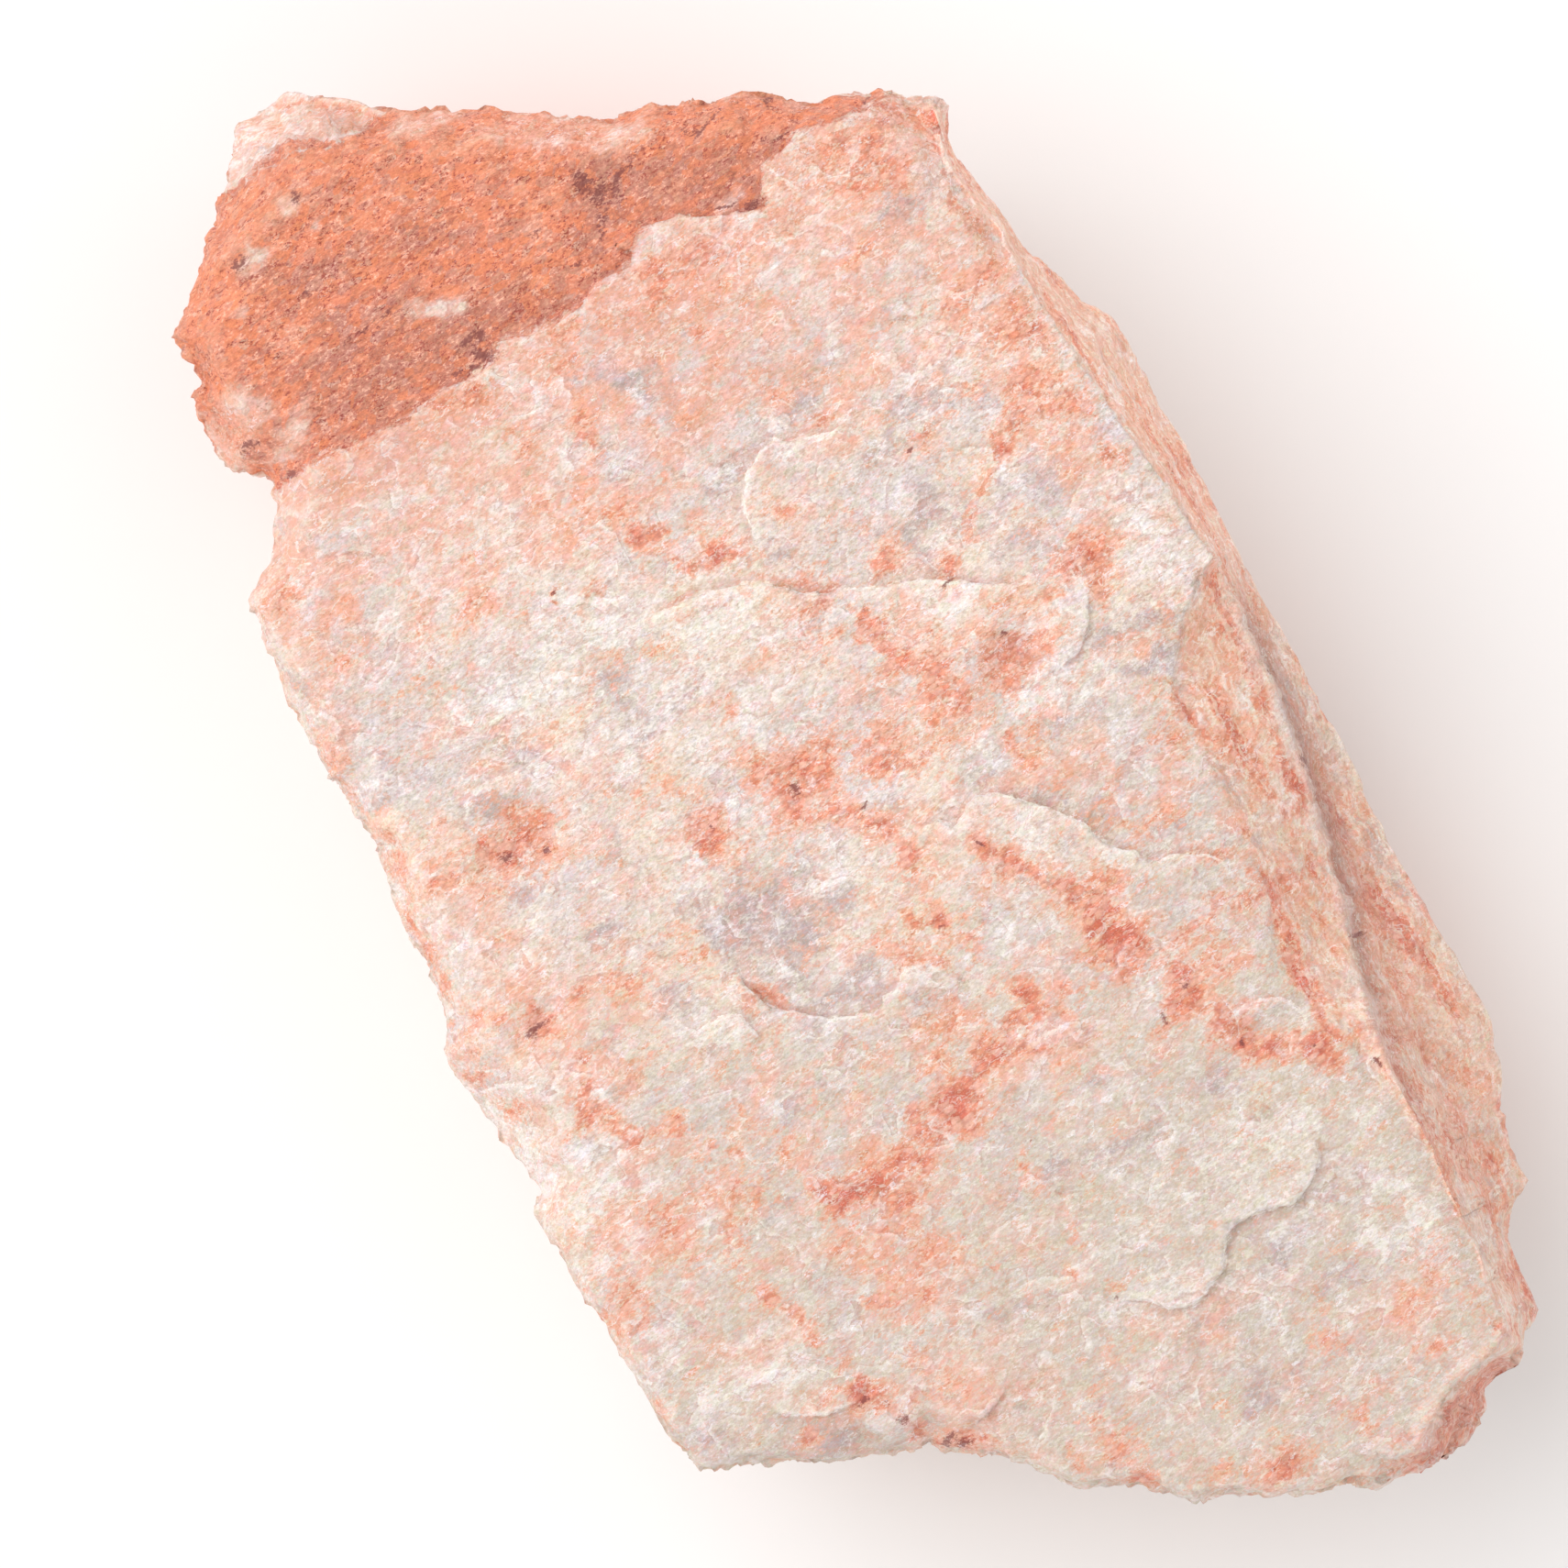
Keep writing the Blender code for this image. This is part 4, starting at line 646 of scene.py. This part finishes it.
def survey_colours(mesh, co, normal):
    """Stores the stains, veins and patches as vertex values, at the places before the relief."""
    wobble = np.stack([fbm(co / 1.3, s, 3) for s in (101, 102)], -1)
    slope, strip, recess = slope_parts(plan(co) + 0.2 * wobble)
    wall = (1.0 - smooth(0.2, 0.5, normal[:, 2])) * (1.0 - slope)
    top = 1.0 - wall
    rim, power = rim_gap(plan(co))
    paint(mesh, "rim", np.clip(rim, -3.0, 3.0))
    paint(mesh, "rim_power", power * top)

    spot = plan(co) + 0.28 * wobble
    y = spot[:, 1]
    patch = skin_reach(co, spot, wall)
    windows = spread(spot, PALES) * top
    paint(mesh, "weathered", np.minimum(patch, 0.8) - 1.15 * windows)
    paint(mesh, "brown", spread(spot, BROWNS))
    paint(mesh, "thin", np.maximum(spread(spot, THINS) * top, windows))

    # Iron, grey, cream and pink: surveyed on the face, made up on the walls and the slope; the
    # recess below the scarp also gets painted shade through iron and grey
    cloud = fbm(co / 6.0, 111, 4)
    shelf = np.clip(slope - strip, 0.0, 1.0) * smooth(3.0, -3.0, y)
    band, thread = (fbm(co / (s, 9.0 * s, s), n, 3) for n, s in ((181, 1.5), (182, 0.8)))
    iron = stains_and_veins(co, spot) * top + 0.7 * wall * smooth(0.1, 0.8, cloud) - 0.04 * shelf
    iron += 0.85 * slope * smooth(0.04, 0.5, band)
    # Painted shade in the recess below the scarp, carried as iron.
    iron = np.maximum(np.maximum(iron, 0.35 * recess), 1.05 * facet_share(co, spot))
    paint(mesh, "iron", iron)
    grey = spread(spot, GREYS) * top + 0.5 * wall * smooth(0.0, 0.7, -cloud)
    # Painted shade in the recess below the scarp, carried as grey.
    grey = np.maximum(grey, 0.45 * strip + 0.2 * recess) + 0.65 * slope * smooth(0.04, 0.45, -band)
    paint(mesh, "grey", grey)
    clean = spread(spot, CLEANS)
    cream = np.maximum(spread(spot, CREAMS), 0.35 * clean) * top
    paint(mesh, "cream", cream + 0.6 * slope * smooth(0.1, 0.5, thread))
    pink = 0.16 + 0.44 * smooth(13.0, 25.0, y) + 0.12 * fbm(co / 7.0, 121, 2)
    pink += 0.6 * slope * smooth(-8.0, 4.0, y) + 0.16 * shelf + 0.2 * wall + 0.3 * strip
    paint(mesh, "pink", np.maximum(pink, spread(spot, PINKS)) - 0.3 * (clean * top))

    paint(mesh, "slope", np.maximum(slope, 0.6 * wall))
    near = smooth(8.0, -30.0, y) * (1.0 - 0.5 * slope) + 0.5 * strip
    # Below zero on the far part of the sloping side, where the grain shade then paints light.
    paint(mesh, "near", near - 2.0 * slope * smooth(-2.0, 6.0, y))
    paint(mesh, "recess", recess)
    speck = np.max([blob(spot, *shape) for shape in SPECKS], axis=0)
    paint(mesh, "speck", np.where(top > 0.5, np.maximum(speck, -1.0), -1.0))
    mottle = 0.26 - 0.09 * smooth(-14.0, -26.0, y) * top - 0.04 * smooth(-0.5, 0.5, patch)
    paint_mottle(mesh, co, mottle)


def paint_ridges(mesh):
    # Curvature, for the painted highlight on convex ridges and the painted shade in hollows.
    near, far = curvature(mesh, 2), curvature(mesh, 8)
    paint(mesh, "ridge", np.clip(6.0 * near + 2.2 * far, -1.0, 1.0))


# Material

def linear(red, green, blue):
    """A colour given in display values 0..255, as linear light."""
    parts = [c / 255.0 for c in (red, green, blue)]
    return [*(c / 12.92 if c <= 0.04045 else ((c + 0.055) / 1.055) ** 2.4 for c in parts), 1.0]


class Graph:
    """Short names for the nodes of one material, and its named values, as in graph["iron"]."""

    def __init__(self, material):
        self.tree = material.node_tree
        self.tree.nodes.clear()
        self.named = {}

    def __getitem__(self, name):
        """A named value, or else the one that paint stored under that name."""
        if name not in self.named:
            self.named[name] = self.stored(name)
        return self.named[name]

    def name(self, name, vector):
        """Names a vector, and its channels by the same name with 0, 1 or 2 after it."""
        split = self.node("ShaderNodeSeparateXYZ", {0: vector})
        names = (name, f"{name}0", f"{name}1", f"{name}2")
        self.named.update(zip(names, (vector, *split.outputs)))

    def node(self, kind, inputs=(), **settings):
        """A node with its settings. Each input, by its name or number, is a socket or a value."""
        made = self.tree.nodes.new(kind)
        for name, value in settings.items():
            setattr(made, name, value)
        for key, value in dict(inputs).items():
            if hasattr(value, "links"):
                self.tree.links.new(value, made.inputs[key])
            else:
                made.inputs[key].default_value = value
        return made

    def math(self, operation, a, b=0.0, c=0.0):
        return self.node("ShaderNodeMath", {0: a, 1: b, 2: c}, operation=operation).outputs[0]

    def times(self, a, b):
        return self.math("MULTIPLY", a, b)

    def vector(self, operation, a, b=(0.0, 0.0, 0.0)):
        return self.node("ShaderNodeVectorMath", {0: a, 1: b}, operation=operation).outputs[0]

    def centred(self, colour):
        """A random colour, brought about zero."""
        return self.vector("SUBTRACT", colour, (0.5, 0.5, 0.5))

    def stored(self, name, output="Fac"):
        return self.node("ShaderNodeAttribute", attribute_name=name).outputs[output]

    def stretched(self, where, angle, along, across):
        inputs = {"Vector": where, "Rotation": (0.0, 0.0, math.radians(angle)),
                  "Scale": (along, across, across)}
        return self.node("ShaderNodeMapping", inputs, vector_type="TEXTURE").outputs[0]

    def noise(self, where, scale, detail, rough, output="Fac"):
        inputs = {"Vector": where, "Scale": scale, "Detail": detail, "Roughness": rough}
        return self.node("ShaderNodeTexNoise", inputs).outputs[output]

    def facets(self, where, scale):
        """Distance to the nearest of scattered points, and a random colour for each."""
        inputs = {"Vector": where, "Scale": scale}
        made = self.node("ShaderNodeTexVoronoi", inputs, feature="F1")
        return made.outputs["Distance"], made.outputs["Color"]

    def sum(self, total=None, **weights):
        """Named values times their weights, added up and, if one is given, to a total."""
        for name, weight in weights.items():
            if total is None:
                total = self[name] if weight == 1.0 else self.times(self[name], weight)
            else:
                total = self.math("MULTIPLY_ADD", self[name], weight, total)
        return total

    def step(self, value, low, high, most=1.0, least=0.0):
        """Eased from least at low to most at high; low may be the larger."""
        inputs = {0: value, 1: low, 2: high, 3: least, 4: most}
        return self.node("ShaderNodeMapRange", inputs, interpolation_type="SMOOTHSTEP").outputs[0]

    def mix(self, share, a, b):
        """Two colours mixed, each a socket or display values 0..255."""
        a, b = (linear(*colour) if isinstance(colour, tuple) else colour for colour in (a, b))
        return self.node("ShaderNodeMix", {0: share, 6: a, 7: b}, data_type="RGBA").outputs[2]

    def layered(self, colour, layers):
        """Mixes in each tone where a weighted sum of named values is past its range."""
        for weights, limits, tone in layers:
            colour = self.mix(self.step(self.sum(**weights), *limits), colour, tone)
        return colour


def name_patterns(g):
    """Names the patterns of grain that the layers share, from broad to fine."""
    place = g.node("ShaderNodeTexCoord").outputs["Object"]
    mm = g.vector("MULTIPLY", place, (1.0 / MM,) * 3)
    bent = g.vector("ADD", mm, g.stored("drift", "Vector"))
    g.named["bent"] = bent
    g.name("mid", g.stored("mottle", "Vector"))
    streaks = g.noise(g.stretched(mm, 5.0, 2.3, 0.75), 1.8, 4.0, 0.78)
    g.named["streak"] = g.math("SUBTRACT", streaks, 0.5)
    g.name("flake", g.centred(g.facets(g.stretched(bent, -6.0, 1.5, 1.0), 1.0)[1]))
    g.named["seam"], crumbs = g.facets(g.stretched(mm, 14.0, 1.5, 0.9), 2.6)
    g.name("crumb", g.centred(crumbs))
    fine = g.noise(g.stretched(mm, 9.0, 1.55, 0.85), 4.8, 2.0, 0.95, "Color")
    g.name("fine", g.centred(fine))


def feldspar(g):
    """Cream to cool, greyer where glassy, clean where fresh and pink where stained through."""
    colour = g.mix(g.step(g["slow"], -0.4, 0.4), (238, 217, 202), (224, 207, 200))
    colour = g.mix(g.times(g["near"], 0.8), colour, (213, 196, 180))
    colour = g.layered(colour, (
        (dict(grey=1.0, mid0=2.4, streak=1.5, flake0=0.35, crumb0=0.15, fine0=0.6),
         (0.10, 0.85, 0.85), (188, 166, 164)),
        (dict(cream=0.9, mid2=2.3, streak=1.3, flake2=0.35, fine1=0.6),
         (0.15, 0.88, 0.8), (248, 238, 228)),
        (dict(pink=1.0, mid1=2.7, streak=-1.3, flake1=0.3, fine2=0.6),
         (0.02, 0.95, 0.9), (241, 180, 157)),
        (dict(pink=0.7, mid2=-1.8, streak=1.0, crumb0=0.35, fine1=1.2),
         (0.35, 0.90, 0.5), (214, 150, 134)),
    ))
    return g.mix(g.times(g["slope"], 0.3), colour, (232, 190, 158))


def iron_stain(g, colour):
    """Pale orange to deep red, in crumbs."""
    # The iron value also holds painted shade in the recess below the scarp, shown here in rust
    # tones.
    rust = g.sum(iron=1.0, mid2=-1.4, streak=1.1, flake0=0.2, crumb0=0.35, fine0=1.1)
    colour = g.mix(g.step(rust, 0.10, 0.56, 0.7), colour, (246, 176, 146))
    colour = g.mix(g.step(rust, 0.46, 0.86, 0.75), colour, (238, 141, 108))
    colour = g.mix(g.step(rust, 0.88, 1.30, 0.75), colour, (212, 92, 70))
    stained = g.step(rust, 0.35, 0.9)
    pale = g.times(g.step(g["crumb1"], 0.22, 0.34), g.times(stained, 0.5))
    colour = g.mix(pale, colour, (250, 214, 192))
    seam = g.times(g.step(g["seam"], 0.36, 0.70), g.times(stained, 0.4))
    return g.mix(seam, colour, (184, 104, 88))


def plate_borders(g, colour):
    """Cleavage plates: a painted highlight just inside each border and painted shade just outside
    it.
    """
    rising = g.math("ADD", g.sum(broad=1.0, streak=0.18), 40.0)  # above zero everywhere
    within = g.math("FRACT", rising)
    patchy = g.step(g["mid2"], -0.06, 0.08, 0.5)
    # Painted highlight just inside each plate border.
    inside = g.times(g.step(within, 0.0, 0.03), g.step(within, 0.26, 0.02))
    colour = g.mix(g.times(inside, patchy), colour, (253, 240, 230))
    # Painted shade just outside each plate border.
    outside = g.times(g.step(within, 0.88, 1.0), patchy)
    return g.mix(outside, colour, (204, 164, 152))


def skin_colour(g):
    """Orange to dull brown, with pale and dark red crumbs."""
    hue = dict(crumb1=1.0, fine2=1.6)
    return g.layered((236, 139, 104), (
        (dict(brown=1.0, mid0=2.6, streak=1.0, flake0=0.35), (0.1, 0.75), (196, 121, 99)),
        (dict(mid1=1.6, streak=1.6, flake1=0.3), (0.04, 0.4, 0.6), (244, 160, 124)),
        (dict(streak=1.6, mid2=1.2, crumb0=0.2), (-0.05, -0.34, 0.62), (188, 96, 78)),
        (hue, (0.06, 0.34, 0.5), (246, 146, 96)),
        (hue, (-0.06, -0.34, 0.55), (206, 134, 122)),
        (dict(fine1=1.0, crumb2=0.18, streak=0.1), (0.09, 0.22, 0.55), (250, 196, 162)),
        (dict(fine0=1.0, crumb0=0.20, streak=-0.2), (0.09, 0.20, 0.85), (158, 58, 52)),
    ))


def weathered_skin(g, colour):
    """The skin with its dark ragged border. Its share is named for the layers above it."""
    ragged = g.sum(weathered=1.0, streak=1.2, fine2=0.6, crumb0=0.25)
    worn = g.sum(thin=1.0, mid1=1.6, streak=0.9, fine0=0.5)
    worn = g.step(worn, 0.15, 0.75, 0.22, 1.0)
    g.named["skin"] = g.times(g.step(ragged, -0.08, 0.10), worn)
    colour = g.mix(g["skin"], colour, skin_colour(g))
    border = g.times(g.step(ragged, -0.25, -0.02), g.step(ragged, 0.30, 0.02))
    border = g.times(border, worn)
    return g.mix(g.times(border, 0.5), colour, (182, 96, 80))


def slope_fibres(g, colour):
    """Pale and dark fibres along the sloping side, and the shade in its recess."""
    fibres = g.noise(g.stretched(g["bent"], 88.0, 3.4, 0.42), 1.0, 3.0, 0.6)
    fibres = g.math("SUBTRACT", fibres, 0.5)
    for low, high, tone in ((0.02, 0.12, (244, 216, 192)), (-0.02, -0.14, (222, 150, 116))):
        colour = g.mix(g.times(g["slope"], g.step(fibres, low, high, 0.55)), colour, tone)
    # Painted shade in the recess below the scarp.
    return g.mix(g.times(g["recess"], 0.7), colour, (138, 84, 72))


def hairlines(g, colour):
    """Light and dark traces of cleavage, in patches outside the skin."""
    trace = g.noise(g.stretched(g["bent"], 3.0, 4.6, 1.0), 0.75, 3.0, 0.62)
    trace = g.sum(trace, fine1=0.05)
    bare = g.step(g["skin"], 0.6, 0.0, 0.5)
    for level, patch, tone in ((0.5, "mid1", (255, 247, 240)), (0.6, "mid0", (196, 140, 126))):
        hair = g.step(g.math("ABSOLUTE", g.math("SUBTRACT", trace, level)), 0.020, 0.004)
        hair = g.times(hair, g.step(g[patch], -0.02, 0.12, bare))
        colour = g.mix(hair, colour, tone)
    return colour


def rims_and_ridges(g, colour):
    """A painted highlight on the rim of each ledge and painted shade at its foot; painted
    highlights on convex ridges and painted shade in hollows.
    """
    rim = g.sum(rim=1.0, streak=0.5, flake0=0.12)
    line = g.times(g.step(rim, -0.04, 0.01), g.step(rim, 0.26, 0.10))
    broken = g.step(g.sum(mid0=1.0, fine1=0.2), -0.14, 0.04, 1.0, 0.3)
    # Painted highlight on each ledge: a thin bright line at the rim and a paler band on its higher
    # side.
    cap = g.times(g.step(rim, 0.0, 0.1), g.step(rim, 1.2, 0.1, 0.25))
    cap = g.math("MAXIMUM", g.times(line, broken), cap)
    colour = g.mix(g.times(cap, g["rim_power"]), colour, (255, 244, 235))
    # Painted shade at the foot of each ledge, on its lower side.
    foot = g.times(g.step(rim, -0.8, -0.1), g.step(rim, 0.0, -0.06, 0.3))
    colour = g.mix(g.times(foot, g["rim_power"]), colour, (186, 148, 138))
    # Painted highlight on convex ridges.
    light = g.mix(g["skin"], (252, 236, 224), (240, 166, 134))
    colour = g.mix(g.step(g["ridge"], 0.14, 0.70, 0.35), colour, light)
    # Painted shade in concave hollows.
    return g.mix(g.step(g["ridge"], -0.14, -0.70, 0.3), colour, (200, 138, 120))


def crumbs_and_glints(g, colour):
    """Orange crumbs, white crumbs and glints, each in one tint off the skin and one on it."""
    grain = g.sum(fine0=1.0, crumb1=0.22)
    glint = g.sum(crumb0=1.0, fine2=0.8, slope=-0.15)
    for share, bare, skinned in (
            (g.step(grain, 0.0, 0.24, 0.36), (232, 160, 134), (206, 112, 90)),
            (g.step(grain, 0.0, -0.24, 0.34), (252, 242, 235), (249, 190, 160)),
            (g.step(glint, 0.46, 0.54, 0.5), (255, 249, 244), (252, 204, 176))):
        colour = g.mix(share, colour, g.mix(g["skin"], bare, skinned))
    return colour


def grain_shade(g, colour, soft):
    """Makes each grain lighter or darker, and warmer or cooler, than the next. It also paints light
    on the sloping side and the walls, which face away from the key, and more on the far slope;
    towards the near end it darkens.
    """
    shade = g.times(g.sum(fine1=0.84, streak=0.36, crumb2=0.07, flake1=0.03), soft)
    # Painted light: lighter with the slope value, and on the far slope where near is below zero;
    # darker towards the near end.
    cast = g.math("ADD", g.sum(shade, slope=0.08, near=-0.05), 0.98)
    casts = {"fine": (0.0, -0.08, 0.42), "crumb": (0.01, -0.05, 0.10), "mid": (0.0, 0.03, 0.22)}
    for name, weights in casts.items():
        cast = g.vector("ADD", cast, g.vector("MULTIPLY", g[name], weights))
    return g.vector("MULTIPLY", colour, g.vector("MULTIPLY", cast, (0.935, 0.965, 0.98)))


def specks(g, colour):
    """The surveyed dark specks, and small dots that are commoner where there is iron."""
    marks = g.step(g.sum(speck=1.0, fine0=2.2, streak=1.2), 0.0, 0.6, 0.8)
    dots = g.step(g.sum(fine2=1.0, iron=0.03), 0.25, 0.285, 0.6)
    return g.mix(g.math("MAXIMUM", marks, dots), colour, (126, 66, 64))


def grain_normal(g, soft):
    """The surface normal: each crumb leans its own way, with a finer roughness over it."""
    normal = g.node("ShaderNodeNewGeometry").outputs["Normal"]
    for name, lean in (("crumb", 0.18), ("fine", 0.85)):
        tilt = g.vector("MULTIPLY", g[name], soft)
        normal = g.vector("ADD", normal, g.vector("MULTIPLY", tilt, (lean,) * 3))
    return g.vector("NORMALIZE", normal)


def stone_material():
    material = bpy.data.materials.new("microcline")
    material.use_nodes = True
    g = Graph(material)
    name_patterns(g)
    colour = feldspar(g)
    for layer in (iron_stain, plate_borders, weathered_skin, slope_fibres, hairlines,
                  rims_and_ridges, crumbs_and_glints):
        colour = layer(g, colour)
    # The grain is softer towards the near end
    soft = g.math("SUBTRACT", 1.0, g.times(g.math("MAXIMUM", g["near"], 0.0), 0.34))
    colour = specks(g, grain_shade(g, colour, soft))
    shader = g.node("ShaderNodeBsdfPrincipled", {
        "Base Color": colour,
        "Roughness": g.step(g["crumb2"], -0.3, 0.4, 0.42, 0.66),
        "Specular IOR Level": 0.42,
        "Normal": grain_normal(g, soft),
    })
    g.node("ShaderNodeOutputMaterial", {"Surface": shader.outputs[0]})
    return material


# Stage

def add_floor():
    mesh = bpy.data.meshes.new("floor")
    reach = 3.0  # metres
    corners = [(-reach, -reach, 0), (reach, -reach, 0), (reach, reach, 0), (-reach, reach, 0)]
    mesh.from_pydata(corners, [], [(0, 1, 2, 3)])
    floor = bpy.data.objects.new("floor", mesh)
    bpy.context.scene.collection.objects.link(floor)
    material = bpy.data.materials.new("floor")
    material.use_nodes = True
    shader = material.node_tree.nodes["Principled BSDF"]
    shader.inputs["Base Color"].default_value = (*[FLOOR_WHITE] * 3, 1.0)
    shader.inputs["Roughness"].default_value = 0.9
    shader.inputs["Specular IOR Level"].default_value = 0.1
    mesh.materials.append(material)


def add_lights():
    """A broad soft key from the upper left of the picture, in an even white room."""
    world = bpy.data.worlds.new("room")
    world.use_nodes = True
    background = world.node_tree.nodes["Background"]
    background.inputs["Color"].default_value = (1.0, 0.99, 0.98, 1.0)
    background.inputs["Strength"].default_value = ROOM_LIGHT
    bpy.context.scene.world = world
    lamp = bpy.data.lights.new("key", "SUN")
    lamp.energy = KEY_LIGHT
    lamp.angle = KEY_SPREAD
    key = bpy.data.objects.new("key", lamp)
    key.rotation_euler = KEY_LEAN
    bpy.context.scene.collection.objects.link(key)


def add_camera():
    camera = bpy.data.cameras.new("camera")
    camera.sensor_width = SENSOR
    camera.lens = LENS
    camera.clip_end = 20.0
    obj = bpy.data.objects.new("camera", camera)
    x, y = (PHOTO_AXIS - CENTRE) * MM
    distance = LENS / SENSOR * PHOTO_WIDTH + FACE_HEIGHT
    obj.location = (x, y, distance * MM)
    obj.rotation_euler = (0.0, 0.0, PHOTO_ROLL)
    bpy.context.scene.collection.objects.link(obj)
    bpy.context.scene.camera = obj


def main():
    bpy.context.scene.view_settings.view_transform = "Standard"
    stone = refined_copy()
    co, normal = positions(stone.data), normals(stone.data)
    relief(stone)
    survey_colours(stone.data, co, normal)
    paint_ridges(stone.data)
    stone.data.materials.append(stone_material())
    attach(stone, "root")
    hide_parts(NODE)
    add_floor()
    add_lights()
    add_camera()


main()
